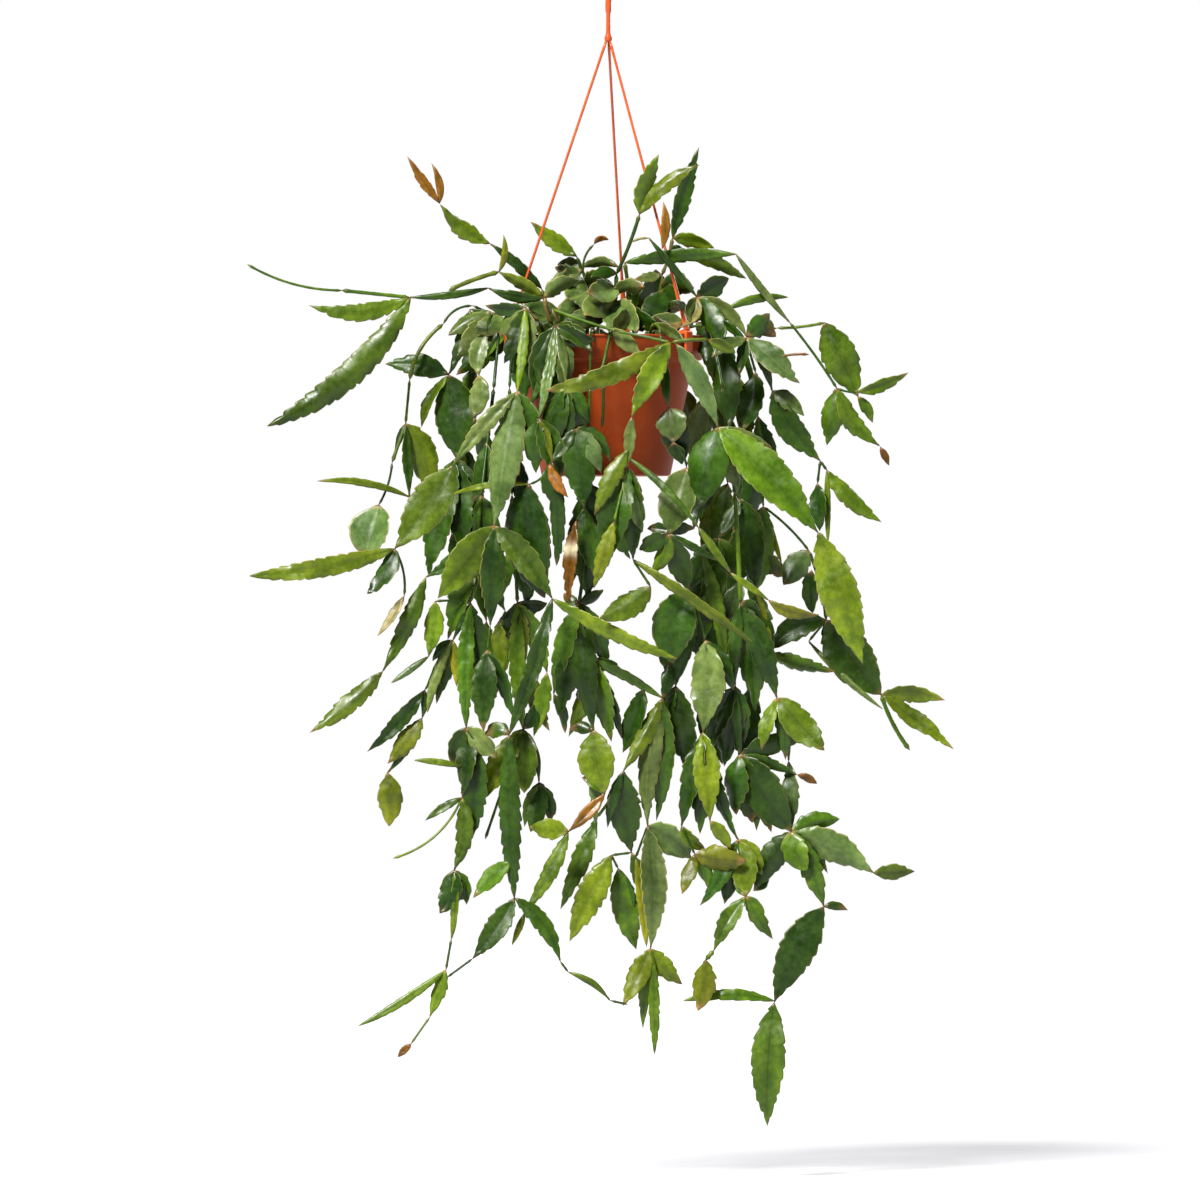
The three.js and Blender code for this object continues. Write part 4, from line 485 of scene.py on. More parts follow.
        [[34.4, 57.6, 12.4], [38, 49, 51, 30, 0, 20, 0]],
        [[33.6, 58.4, 11.6], [18, 44, 42, 24, 0, 15, 0]],
    ],
    "shoot_back_mid": [
        [[-6, 44, -8], [-6, 60, 12, 3.6, 0, 0, 1], [-6, 78, 8, 3.4, 0, 0, 1],
          [-12, 92, -40, 22, 2, 10, 1], [-2, 94, -98, 24, 2, -10, 0]],
        [[-6, 78, 8], [14, 88, -40, 18, 3, 20, 3], [18, 88, -94, 16, 0, 15, 2]],
        [[-6, 60, 12], [-30, 54, 28, 18, 3, 40, 3]],
        [[-6.4, 60.4, 12.4], [-4, 50, 48, 30, 0, 15, 0]],
    ],
    "shoot_back_mid_left": [
        [[-26, 42, -8], [-34, 56, 10, 3.6, 0, 0, 1], [-42, 72, 8, 3.4, 0, 0, 1],
          [-48, 84, -40, 22, -2, -12, 0], [-36, 88, -98, 24, 2, 14, 3]],
        [[-42, 72, 8], [-60, 72, -36, 14, -3, -25, 2], [-66, 76, -90, 16, -1, 20, 0]],
        [[-34, 56, 10], [-56, 46, 24, 17, -3, 40, 3]],
    ],
    "shoot_back_left": [
        [[-42, 32, -8], [-54, 38, 10, 3.6, 0, 0, 1], [-70, 44, 12, 3.4, 1, 0, 1],
          [-98, 40, -22, 22, -3, 30, 1], [-106, 36, -84, 20, -2, -25, 0], [-98, 34, -146, 22, 2, 20, 1],
          [-90, 32, -214, 20, -1, -20, 0], [-96, 30, -282, 18, 1, 25, 1]],
        [[-70, 44, 12], [-92, 56, -18, 12, -2, 35, 3]],
        [[-106, 36, -84], [-116, 26, -148, 16, -2, 30, 2]],
        [[-98, 34, -146], [-76, 44, -206, 20, -3, -15, 3], [-84, 46, -272, 16, 1, 15, 2]],
        [[-70.4, 44.4, 11.6], [-113, 27, -30, 22, 0, 15, 0]],
    ],
}

# Young orange growth at the ends of the green shoots
YOUNG = {
    "young_pair_upper_left": [
        [[-124.6, -14, 99.1], [-148, -19, 135, 8, 1, 20, 5]],
        [[-124.6, -14, 99.1], [-131, -10, 129, 6.5, -3, 20, 5]],
    ],
    "young_bud_top": [[[-8.7, 9.9, 69.5], [2, 8, 72, 5.4, 3, 20, 5]]],
    "young_blade_centre": [[[42, -47, 64.2], [43, -44, 100, 7.5, -2, 20, 5]]],
    "young_tip_right": [[[204.7, -50, -84], [211, -51, -98, 6, 0, 20, 5]]],
    "young_tip_lower": [[[142.7, -70, -328.2], [157, -71, -335, 7, 1, 20, 5]]],
}

# Smaller blades that fill out the shoots, each run from one of their joints
FILL = {
    "shoot_left_reach": [
        [[-46, -36, 28], [-20, -32, 40, 15, 3, 25, 3]], [[-46, -36, 28], [-30, -24, 50, 11, -2, 30, 3]],
    ],
    "shoot_left_strap": [
        [[-60, -58, 20], [-90, -46, 22, 12, 2, -25, 0]],
        [[-60, -58, 20], [-80, -48, -2, 14, -2, 20, 3]],
        [[-72, -98, -298], [-90, -90, -298, 14, -3, 20, 0]],
        [[-60, -58, 20], [-76, -60, -22, 18, 2, 15, 0]],
        [[-66, -76, -43], [-51, -74, -102, 22, 3, 10, 0]],
    ],
    "shoot_left_curtain": [
        [[-86, 0, 18], [-118, -6, 0, 17, -3, 20, 3]], [[-62, 8, 10], [-64, -8, -36, 18, 2, -20, 0]],
    ],
    "shoot_front_left": [
        [[-30, -85, -38], [-43, -82, -88, 22, -2, 12, 0]],
        [[-30, -85, -38], [-18, -82, -76, 17, 2, -15, 0]],
        [[-50, -84, -63], [-52, -80, -104, 17, -2, 10, 0]],
        [[-40, -88, -95], [-36, -80, -172, 12, 2, 12, 0]],
        [[-38, -68, 6], [-48, -78, -42, 18, -3, 12, 0]],
        [[-38, -68, 6], [-30, -80, -46, 17, 2, -12, 3]],
        [[-38, -68, 6], [-10, -80, -14, 15, 3, -20, 0]],
        [[-30, -85, -38], [-35, -78, -94, 21, 1, 12, 0]],
        [[-50, -84, -63], [-34, -78, -110, 20, 2, 10, 0]],
        [[-38, -68, 6], [-52, -72, -50, 24, -1, 10, 0]],
    ],
    "shoot_upright": [
        [[6, -18, 24], [2, -52, 4, 18, 2, 25, 3]], [[6, -18, 24], [44, -46, 5, 17, -3, 25, 0]],
        [[6, -18, 24], [-16, -52, 14, 22, -3, 20, 3]], [[7, -20, 36], [-14, -46, 32, 20, 2, 25, 3]],
        [[6, -18, 24], [22, -52, 2, 20, 3, 20, 3]],
    ],
    "shoot_upright_right": [
        [[41, 16, 34], [28, -28, 8, 19, 2, 20, 0]], [[41, 16, 34], [32, 8, 2, 24, 2, 20, 3]],
    ],
    "shoot_crown": [
        [[-14, 14, 40], [-24, -26, 26, 22, -3, 20, 3]], [[-14, 14, 40], [4, -22, 40, 20, 2, 25, 3]],
        [[-14, 14, 30], [-2, -28, 20, 22, 3, 20, 3]], [[-14, 14, 30], [-34, -22, 6, 20, -2, 20, 3]],
    ],
    "shoot_upper_left": [
        [[-42, -4, 14], [-26, -32, -2, 17, 2, 25, 0]], [[-42, -4, 14], [-52, -38, 6, 20, 2, 20, 3]],
    ],
    "shoot_right_top": [
        [[58, -28, 10], [26, -36, 5, 14, -2, 20, 3]],
        [[58, -28, 10], [36, -52, 15, 9, 6, 35, 6]], [[58, -28, 10], [46, -58, 24, 8, -6, 40, 3]],
        [[68, -45, 28], [54, -64, 5, 9, 6, 35, 6]], [[68, -45, 28], [64, -62, 8, 8, -5, -30, 3]],
    ],
    "shoot_left_low": [
        [[-66, -60, -200], [-44, -54, -200, 12, -3, 25, 0]],
        [[-66, -60, -200], [-78, -54, -228, 13, 2, 10, 0]],
        [[-62, -60, -294], [-50, -54, -272, 11, -2, 15, 0]],
        [[-50, -56, -334], [-42, -50, -364, 14, 2, 12, 0]],
        [[-50, -56, -334], [-61, -52, -368, 9, -2, 12, 1]],
    ],
    "shoot_lower_left": [
        [[-114, -64, -228], [-130, -58, -244, 9, -2, 15, 0]],
        [[-104, -70, -293], [-113, -64, -322, 13, -3, 12, 0]],
        [[-113, -74, -399], [-104, -70, -425, 11, 3, 12, 1]],
    ],
    "shoot_centre_low": [
        [[-39, -68, -268], [-31, -62, -298, 10, 2, 12, 0]],
        [[-9, -80, -295], [-28, -72, -294, 10, -2, 20, 0]],
        [[-1, -84, -342], [-18, -78, -330, 10, -2, 20, 1]],
        [[13, -82, -325], [1, -76, -368, 9, -2, 12, 0]],
        [[-10, -74, -242], [16, -66, -258, 10, 2, 20, 0]],
        [[-10, -74, -242], [12, -66, -302, 9, 2, 12, 0]],
        [[42, -74, -271], [47, -66, -240, 11, -2, 15, 0]],
        [[42, -74, -271], [38, -66, -362, 17, 3, 10, 0]],
        [[-20, -76, -200], [-2, -70, -190, 10, -2, 20, 0]],
        [[-20, -76, -200], [-31, -70, -192, 9, 2, 20, 0]],
        [[9, -60, -398], [19, -56, -438, 11, 3, 12, 0]],
    ],
    "shoot_front_right": [
        [[47, -90, -55], [56, -85, -98, 23, 0, 10, 0]],
        [[47, -98, -149], [30, -92, -145, 9, -2, 20, 0]],
        [[47, -98, -149], [66, -92, -145, 9, 2, 20, 0]],
        [[56, -86, -366], [74, -80, -384, 11, -2, 15, 2]],
        [[66, -90, -387], [76, -84, -412, 12, 2, 12, 1]],
        [[104, -92, -418], [95, -86, -402, 9, 0, 15, 1]],
        [[104, -92, -418], [117, -86, -436, 9, 2, 12, 1]],
    ],
    "shoot_right_curtain": [
        [[52, -66, -262], [44, -60, -294, 12, -2, 12, 0]],
        [[80, -8, 14], [76, -34, -22, 16, -3, 20, 0]],
        [[112, -48, -192], [110, -42, -262, 27, 2, 12, 0], [104, -42, -326, 24, -2, 12, 0]],
        [[62, -62, -192], [78, -50, -258, 26, 3, 12, 0], [86, -48, -322, 24, -2, 12, 0]],
    ],
    "shoot_lower_right": [
        [[96, -76, -262], [103, -70, -304, 12, 2, 12, 0]],
        [[127, -80, -271], [133, -74, -318, 12, 2, 12, 0]],
        [[100, -74, -313], [136, -64, -324, 8, 0, 15, 0]],
        [[100, -74, -313], [112, -66, -370, 16, 3, 12, 0]],
        [[100, -78, -200], [114, -72, -208, 8, 2, 20, 0]],
        [[110, -73, -414], [122, -68, -404, 8, 0, 15, 0]],
    ],
    "shoot_back_left": [[[-116, 26, -148], [-113, 20, -180, 12, 2, 12, 0]]],
}

# Where the runs start
STARTS = [run[0] for runs in (*SHOOTS.values(), *YOUNG.values(), *FILL.values()) for run in runs]


def hex_colour(text):
    """Linear colour of a hex code."""
    parts = [int(text[i:i + 2], 16) / 255 for i in (1, 3, 5)]
    return [c / 12.92 if c <= 0.04045 else ((c + 0.055) / 1.055) ** 2.4 for c in parts] + [1]


def eased(t):
    """A share from 0 to 1 that starts and ends softly."""
    return t * t * (3 - 2 * t)


def settle(bm, name, material, node):
    """Turns a mesh drawn in millimetres into the finished piece that stands for a node."""
    bmesh.ops.recalc_face_normals(bm, faces=bm.faces)
    bmesh.ops.translate(bm, verts=bm.verts, vec=-SEAT)
    bmesh.ops.scale(bm, verts=bm.verts, vec=(0.001, 0.001, 0.001))
    for face in bm.faces:
        face.smooth = True
    mesh = bpy.data.meshes.new(name)
    bm.to_mesh(mesh)
    bm.free()
    mesh.materials.append(material)
    piece = bpy.data.objects.new(name, mesh)
    bpy.context.scene.collection.objects.link(piece)
    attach(piece, "root")
    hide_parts(node)


# Finishes, with noise scales per metre and bumps in metres


def add_node(tree, kind, inputs=None, **settings):
    """A node with its settings, its inputs given as values or as the sockets that feed them."""
    node = tree.nodes.new(kind)
    for key, value in settings.items():
        setattr(node, key, value)
    for key, value in (inputs or {}).items():
        if isinstance(value, bpy.types.NodeSocket):
            tree.links.new(value, node.inputs[key])
        else:
            node.inputs[key].default_value = value
    return node


def blended(tree, factor, first, second, blend="MIX"):
    """Colour between two colours, or one laid on the other."""
    return add_node(tree, "ShaderNodeMix", {0: factor, 6: first, 7: second},
                    data_type="RGBA", blend_type=blend).outputs[2]


def multiplied(tree, colour, tint):
    return blended(tree, 1.0, colour, tint, "MULTIPLY")


def shaded(tree, factor, colour, tint):
    """A colour multiplied by a tint where a factor is high."""
    return blended(tree, factor, colour, multiplied(tree, colour, tint))


def mottled(tree, factor, colour, low, high):
    """A colour that goes from one tint of itself to another."""
    return blended(tree, factor, multiplied(tree, colour, low), multiplied(tree, colour, high))


def ranged(tree, value, low, high, to_low=0.0, to_high=1.0):
    """A value carried smoothly from one range to another."""
    inputs = {0: value, 1: low, 2: high, 3: to_low, 4: to_high}
    return add_node(tree, "ShaderNodeMapRange", inputs, interpolation_type="SMOOTHSTEP").outputs[0]


def maths(tree, operation, first, second):
    return add_node(tree, "ShaderNodeMath", {0: first, 1: second}, operation=operation).outputs[0]


def speckle(tree, scale, detail, rough=0.55, stretch=None):
    """Noise on the piece's own coordinates."""
    place = add_node(tree, "ShaderNodeTexCoord").outputs["Object"]
    if stretch:
        place = add_node(tree, "ShaderNodeMapping", {0: place, 3: stretch}).outputs[0]
    inputs = {"Vector": place, "Scale": scale, "Detail": detail, "Roughness": rough}
    return add_node(tree, "ShaderNodeTexNoise", inputs).outputs[0]


def mark(tree, name):
    """A value that the links carry over their surface."""
    return add_node(tree, "ShaderNodeAttribute", attribute_name=name).outputs["Fac"]


def new_finish(name):
    material = bpy.data.materials.new(name)
    material.use_nodes = True
    return material, material.node_tree, material.node_tree.nodes["Principled BSDF"]


def set_colour(tree, shader, colour, rough):
    tree.links.new(colour, shader.inputs["Base Color"])
    tree.links.new(rough, shader.inputs["Roughness"])


def set_bump(tree, shader, height, strength, distance):
    inputs = {"Strength": strength, "Distance": distance, "Height": height}
    tree.links.new(add_node(tree, "ShaderNodeBump", inputs).outputs[0], shader.inputs["Normal"])


def skin_finish(name):
    """Waxy skin of a link: mottled tone with painted highlight and shade, painted shade in the midrib and
    vein grooves, midrib line, pale rim, browned ends.
    """
    material, tree, shader = new_finish(name)
    shader.inputs["Specular IOR Level"].default_value = 0.3
    tone = add_node(tree, "ShaderNodeAttribute", attribute_name="tone").outputs["Color"]
    across, vein, pale = mark(tree, "across"), mark(tree, "vein"), mark(tree, "rim")
    broad = ranged(tree, speckle(tree, 42, 2.5), 0.3, 0.7)
    fine = ranged(tree, speckle(tree, 240, 4.0, 0.65), 0.3, 0.7)
    # Broad patches of random tone, the pale ones also a painted highlight and the dark ones a painted shade
    colour = mottled(tree, broad, tone, (0.62, 0.68, 0.5, 1), (1.42, 1.32, 1.3, 1))
    colour = mottled(tree, fine, colour, (0.8, 0.84, 0.8, 1), (1.3, 1.2, 1.2, 1))
    # Painted shade: darker along the midrib fold and in the grooves between the vein cushions
    painted_groove_shade = (0.55, 0.6, 0.5, 1)
    colour = shaded(tree, ranged(tree, across, 0.05, 0.5, 0.55, 0.0), colour, painted_groove_shade)
    colour = shaded(tree, ranged(tree, vein, 0.0, 0.45, 0.3, 0.0), colour, painted_groove_shade)
    rib = blended(tree, pale, (0.5, 0.55, 0.45, 1), (1.9, 1.7, 2.0, 1))
    colour = shaded(tree, ranged(tree, across, 0.02, 0.08, 0.7, 0.0), colour, rib)
    rim = blended(tree, broad, (0.36, 0.36, 0.1, 1), (0.42, 0.27, 0.13, 1))
    colour = blended(tree, maths(tree, "MULTIPLY", ranged(tree, across, 0.9, 0.99), pale), colour, rim)
    browned = maths(tree, "MULTIPLY", mark(tree, "dry"), ranged(tree, fine, 0.0, 1.0, 0.75, 1.0))
    bark = blended(tree, broad, (0.075, 0.034, 0.012, 1), (0.3, 0.13, 0.055, 1))
    mottle = maths(tree, "ADD", maths(tree, "MULTIPLY", broad, 0.5), fine)
    rough = ranged(tree, mottle, 0.2, 1.3, 0.29, 0.45)
    set_colour(tree, shader, blended(tree, browned, colour, bark), rough)
    crumple = ranged(tree, speckle(tree, 70, 1.5), 0.25, 0.75)
    set_bump(tree, shader, maths(tree, "ADD", maths(tree, "MULTIPLY", fine, 0.08), crumple), 0.32, 0.0014)
    return material


def pot_finish():
    """Satin terracotta plastic with faint moulding rings, dust and rubbed spots."""
    material, tree, shader = new_finish("terracotta_plastic")
    shader.inputs["Specular IOR Level"].default_value = 0.16
    cloud = ranged(tree, speckle(tree, 14, 3.0), 0.3, 0.7)
    dust = ranged(tree, speckle(tree, 90, 5.0, 0.7), 0.52, 0.78)
    rings = speckle(tree, 60, 2.0, 0.5, (0.05, 0.05, 9))
    clay = blended(tree, cloud, (0.2, 0.028, 0.002, 1), (0.29, 0.042, 0.003, 1))
    dusty = blended(tree, maths(tree, "MULTIPLY", dust, 0.16), clay, (0.4, 0.12, 0.05, 1))
    set_colour(tree, shader, dusty, ranged(tree, dust, 0.0, 1.0, 0.5, 0.7))
    set_bump(tree, shader, maths(tree, "ADD", rings, maths(tree, "MULTIPLY", dust, 0.4)), 0.25, 0.0004)
    return material


def hanger_finish():
    """Orange moulded plastic, with flow marks along it and a soft shine."""
    material, tree, shader = new_finish("hanger_plastic")
    flow = ranged(tree, speckle(tree, 110, 3.0, 0.6, (1, 1, 0.12)), 0.3, 0.7)
    scuff = ranged(tree, speckle(tree, 420, 4.0, 0.7), 0.5, 0.75)
    plain = blended(tree, flow, (0.43, 0.055, 0.007, 1), (0.56, 0.082, 0.01, 1))
    scuffed = blended(tree, maths(tree, "MULTIPLY", scuff, 0.2), plain, (0.74, 0.28, 0.12, 1))
    set_colour(tree, shader, scuffed, ranged(tree, scuff, 0.0, 1.0, 0.3, 0.5))
    set_bump(tree, shader, flow, 0.2, 0.0003)
    return material


def soil_finish():
    """Dark peat with brown bark and a few pale fibres."""
    material, tree, shader = new_finish("potting_soil")
    peat = ranged(tree, speckle(tree, 120, 5.0, 0.7), 0.3, 0.7)
    bark = ranged(tree, speckle(tree, 420, 3.0, 0.6), 0.55, 0.72)
    fibre = ranged(tree, speckle(tree, 700, 2.0, 0.5, (1, 0.2, 0.6)), 0.68, 0.76)
    colour = blended(tree, peat, (0.012, 0.007, 0.004, 1), (0.05, 0.028, 0.015, 1))
    colour = blended(tree, bark, colour, (0.12, 0.062, 0.03, 1))
    colour = blended(tree, fibre, colour, (0.3, 0.2, 0.11, 1))
    set_colour(tree, shader, colour, ranged(tree, peat, 0.0, 1.0, 0.98, 0.8))
    set_bump(tree, shader, maths(tree, "ADD", peat, bark), 0.8, 0.0015)
    return material


# Shoots


def link_course(start, link):
    """Start, pull and end of a link's curve, and its length. Its middle bows and arches out."""
    first, last = Vector(start[:3]), Vector(link[:3])
    width, bow = link[3], link[4]
    travel = last - first
    flat = math.hypot(travel.x, travel.z) or 1
    outward = (-1 if first.y + last.y < 0 else 1) * ARCH * travel.length
    lean = Vector((-travel.z / flat * bow, outward if width >= STEM_WIDTH else 0, travel.x / flat * bow))
    return first, (first + last) / 2 + 2 * lean, last, travel.length


def frame_at(course, t, roll):
    """Point, travel and sideways direction at a share of a link's length, turned by its roll."""
    first, pull, last, _ = course
    at = first * (1 - t) ** 2 + pull * (2 * t * (1 - t)) + last * t ** 2
    travel = ((pull - first) * (1 - t) + (last - pull) * t).normalized()
    side = travel.cross(Vector((0, -1, 0)))
    if side.length < 0.05:
        side = Vector((1, 0, 0))
    side = Quaternion(travel, math.radians(roll)) @ side.normalized()
    return at, travel, side


def mark_layers(bm):
    """Values that the finish reads from the links."""
    layers = {name: bm.verts.layers.float.new(name) for name in ("across", "vein", "rim", "dry")}
    layers["tone"] = bm.verts.layers.float_color.new("tone")
    return layers


def toned(rng, tone):
    """A link's own colour, a little off its tone."""
    light, warm = rng.uniform(*LIGHT), rng.uniform(*WARMTH)
    red, green, blue, _ = hex_colour(TONES[tone])
    return (red * light * (1 + warm), green * light, blue * light * (1 - warm), 1)


def rolled_grid(bm, rows, columns, place):
    """A grid rolled up lengthways into a closed link, with its sides and its ends merged."""
    verts = bmesh.ops.create_grid(bm, x_segments=columns, y_segments=rows, size=0.5)["verts"]
    for vert in verts:
        place(vert, round((vert.co.x + 0.5) * columns), round((vert.co.y + 0.5) * rows))
    bmesh.ops.remove_doubles(bm, verts=verts, dist=0.002)


def add_stem(bm, layers, rng, course, stem):
    """A thin round stem, a little swollen and woody at both ends."""
    length, roll, radius = course[3], stem[5], STEM_RADIUS * stem[3]
    rows = max(4, round(length / STEM_ROW))
    colour = toned(rng, stem[6])
    wood = rng.uniform(*WOOD)
    frames = [frame_at(course, row / rows, roll) for row in range(rows + 1)]

    def place(vert, column, row):
        at, travel, side = frames[row]
        end = min(row, rows - row)
        swell = 0 if end == 0 else radius * (STEM_KNOT if end == 1 else 1 + 0.06 * math.sin(row * 1.7))
        turn = 2 * math.pi * column / STEM_SIDES
        up = travel.cross(side)
        reach = SUNK if row == rows else -SUNK if row == 0 else 0
        vert.co = at + travel * reach + side * (swell * math.cos(turn)) + up * (swell * math.sin(turn))
        vert[layers["across"]], vert[layers["vein"]] = 0.5, 1
        vert[layers["tone"]] = colour
        vert[layers["dry"]] = max(0.0, 1 - end * length / rows / STEM_DRY) * wood

    rolled_grid(bm, rows, STEM_SIDES, place)


def blade_outline(t, width, length):
    """Share of a blade's half width along its length, by a power at its root and one at its tip."""
    if width / length < SLIM:
        root, tip = 0.7, 0.8
    elif width / length > BROAD:
        root, tip = 0.8, 0.95
    else:
        root, tip = 0.9, 1.15
    peak = root / (root + tip)
    return (t / peak) ** root * ((1 - t) / (1 - peak)) ** tip


def blade_edge(rng, teeth):
    """Teeth of one edge: where each begins, as a share of the blade's length, and its depth."""
    shift = rng.random()
    starts = [(tooth + shift + rng.uniform(*TOOTH_SHIFT)) / teeth for tooth in range(-3, teeth + 4)]
    return starts, [rng.uniform(*TOOTH_SIZE) for _ in starts]


def tooth_at(edge, share):
    """How far along its tooth a place is, 0 to 1, and how deep that tooth is."""
    starts, depths = edge
    here = bisect.bisect_right(starts, share) - 1
    return (share - starts[here]) / (starts[here + 1] - starts[here]), depths[here]


def tooth_rise(along):
    """A tooth swells slowly towards the tip of the blade and then drops into its notch."""
    return (along / TOOTH_PEAK) ** 0.6 if along < TOOTH_PEAK else (1 - along) / (1 - TOOTH_PEAK)


def carries_more(link):
    """Whether another link grows from this one's tip."""
    return any(math.dist(link[:3], start) < JOINED_WITHIN for start in STARTS)


def blade_looks(rng, blade, length, teeth, is_tip):
    """What is a blade's own: its edges, colour, folds, waves and age, drawn in this order."""
    width, _, roll, tone = blade[3:7]
    look = SimpleNamespace(edges=(blade_edge(rng, teeth), blade_edge(rng, teeth)))
    look.colour, look.fade = toned(rng, tone), rng.uniform(*FADE)
    look.fold = rng.uniform(*FOLD) * rng.choice((-1, 1))
    turn = DARK_TURN if tone == DARK else TURN
    look.roll, look.twist = roll + rng.uniform(-turn, turn), rng.uniform(*TWIST)
    look.curl = rng.uniform(*CURL)
    look.bend = rng.uniform(*BEND) * length if is_tip else 0
    look.wave = rng.uniform(*WAVE) * min(1, width / FULL_WAVE_WIDTH)
    look.wave_turn = rng.uniform(0, 6.28)
    quilted = tone in QUILTED_TONES and rng.random() < QUILTED_SHARE
    look.pucker = rng.uniform(*(QUILTED if quilted else SMOOTH))
    grey_rim, bright_rim, plain_rim = [rng.uniform(*rim) for rim in (GREY_RIM, BRIGHT_RIM, PLAIN_RIM)]
    look.rim = {GREY: grey_rim, BRIGHT: bright_rim, PALE: PALE_RIM}.get(tone, plain_rim)
    look.age = rng.choice(TIP_AGES) if is_tip else JOINED_AGE
    look.bleached = BLEACHING if tone == ORANGE and length > DRIED_LENGTH else 0
    return look


def blade_stations(course, look, width, rows, flip, is_tip):
    """Middle, travel, side and half width of each row of a blade, and how flat the blade is there."""
    stations = []
    for row in range(rows + 1):
        t = row / rows
        at, travel, side = frame_at(course, t, look.roll + look.twist * math.sin(math.pi * t))
        breadth = width / 2 * blade_outline(t, width, course[3])
        neck = FREE_NECK if is_tip and t >= 0.5 else NECK
        flat = eased(min(1.0, max(0.0, (breadth - neck) / FLATTENING)))
        stations.append((at, travel, side * flip, max(neck, breadth), flat))
    return stations


def add_blade(bm, layers, rng, course, blade, flip, is_tip):
    """A flat green blade, folded along its midrib, with waved and notched edges."""
    length, width = course[3], blade[3]
    teeth = max(2, round(length / TOOTH_PITCH))
    rows, columns = teeth * TOOTH_ROWS, WIDE_COLUMNS if width > WIDE else COLUMNS
    depth, slant = min(TOOTH_DEPTH, TOOTH_SHARE * width), 0.5 * width / length
    look = blade_looks(rng, blade, length, teeth, is_tip)
    stations = blade_stations(course, look, width, rows, flip, is_tip)

    def quilting(edge, share, s):
        """Where a vein's cushion stands up, 0 to 1. The cushions slant from the rib to the edge."""
        return math.sin(math.pi * tooth_at(edge, share + slant * (1 - s))[0])

    def lift_at(out, s, share, breadth, swell):
        """How far the skin stands off the flat: folded, curled, quilted, bent at its tip and waved."""
        lift = abs(out) * look.fold * flip + look.curl * s * s * breadth
        lift = lift + CUSHION_LIFT * swell + look.bend * share ** 3
        edge_turn = 0 if out > 0 else RIPPLE_AHEAD
        lift += look.wave * s * s * math.sin(share * length / EDGE_RIPPLE + look.wave_turn + edge_turn)
        ripple = math.sin(share * length / BLADE_RIPPLE + 2 * look.wave_turn)
        return lift + 0.6 * look.wave * ripple * math.sin(math.pi * share)

    def set_marks(vert, s, share, flat, puff):
        shade = 1 + look.fade * (share - 0.5)
        bleach = look.bleached * math.exp(-((share - BLEACHED_AT) / BLEACHED_REACH) ** 2)
        tint = [c * shade * (1 - bleach) + pale * bleach for c, pale in zip(look.colour, BLEACHED)]
        root_dry = max(0.0, 1 - share * length / ROOT_DRY) * 0.85
        tip_dry = max(0.0, 1 - (1 - share) * length / (TIP_DRY + OLD_TIP_DRY * look.age)) * look.age
        vert[layers["tone"]] = (*tint, 1)
        vert[layers["across"]] = s * flat + 0.5 * (1 - flat)
        # Low in the grooves between the vein cushions, where the finish paints shade
        vert[layers["vein"]] = 1 - flat * (1 - puff) * (0.25 + 0.75 * min(1, look.pucker))
        vert[layers["rim"]] = look.rim * flat
        vert[layers["dry"]] = root_dry + tip_dry

    def place(vert, column, row):
        at, travel, side, breadth, flat = stations[row]
        turn, share = 2 * math.pi * column / columns, row / rows
        up, bend = travel.cross(side), look.bend * share ** 3
        cos, sin = math.cos(turn), math.sin(turn)
        s, edge = abs(cos) ** 1.4, look.edges[0 if cos > 0 else 1]
        along, deep = tooth_at(edge, share)
        notch = flat * depth * deep * (TOOTH_LEVEL - tooth_rise(along))
        out = math.copysign(s * (breadth - notch), cos)
        puff = quilting(edge, share, s)
        swell = flat * math.sin(math.pi * min(1, s * 1.15)) * puff * look.pucker
        groove = 1 - GROOVE_DEPTH * math.exp(-(s / GROOVE_WIDTH) ** 2)
        thick = SKIN_HALF * (1 - s ** 3) ** 0.5 * groove + CUSHION_SKIN * swell
        skin = math.copysign(thick, sin) if abs(sin) > 1e-6 else 0
        if row in (0, rows):
            reach = -SUNK if row == 0 else 0 if is_tip else SUNK
            vert.co = at + travel * reach + up * bend
        else:
            blade_part = side * out + up * (skin + lift_at(out, s, share, breadth, swell))
            neck_part = side * (breadth * cos) + up * (breadth * sin + bend)
            vert.co = at + (blade_part * flat + neck_part * (1 - flat))
        set_marks(vert, s, share, flat, puff)

    rolled_grid(bm, rows, columns, place)


def grow(bm, layers, rng, run):
    """One run of joined links, each of them closed, with its ends in the joints."""
    start, *links = run
    last_side = None
    for index, link in enumerate(links):
        course = link_course(links[index - 1] if index else start, link)
        first_side = frame_at(course, 0, link[5])[2]
        flip = -1 if last_side is not None and last_side.dot(first_side) < 0 else 1
        last_side = frame_at(course, 1, link[5])[2] * flip
        if link[3] < STEM_WIDTH:
            add_stem(bm, layers, rng, course, link)
        else:
            is_tip = index == len(links) - 1 and not carries_more(link)
            add_blade(bm, layers, rng, course, link, flip, is_tip)


def rooted(runs):
    """A shoot's runs, with a root that goes down into the soil from where the first one starts."""
    main, *branches = runs
    x, y, _ = main[0]
    return [[[x, y, ROOT_FOOT], [*main[0], ROOT_WIDTH, 0, 0, MID], *main[1:]], *branches]


def make_growth(node, runs, name, material):
    """One shoot, or one young piece, with all its runs."""
    bm = bmesh.new()
    layers = mark_layers(bm)
    rng = random.Random(node)
    for run in runs:
        grow(bm, layers, rng, run)
    settle(bm, name, material, node)


# Pot, soil and hanger


def turned(profile, steps):
    """A shape turned round the upright axis from its outline of radius and height."""
    bm = bmesh.new()
    verts = [bm.verts.new((radius, 0, z)) for radius, z in profile]
    edges = [bm.edges.new(pair) for pair in zip(verts, verts[1:])]
    bmesh.ops.spin(bm, geom=verts + edges, cent=(0, 0, 0), axis=(0, 0, 1), dvec=(0, 0, 0),
                   angle=2 * math.pi, steps=steps, use_merge=True, use_duplicate=False)
    bmesh.ops.remove_doubles(bm, verts=bm.verts, dist=0.01)
    return bm


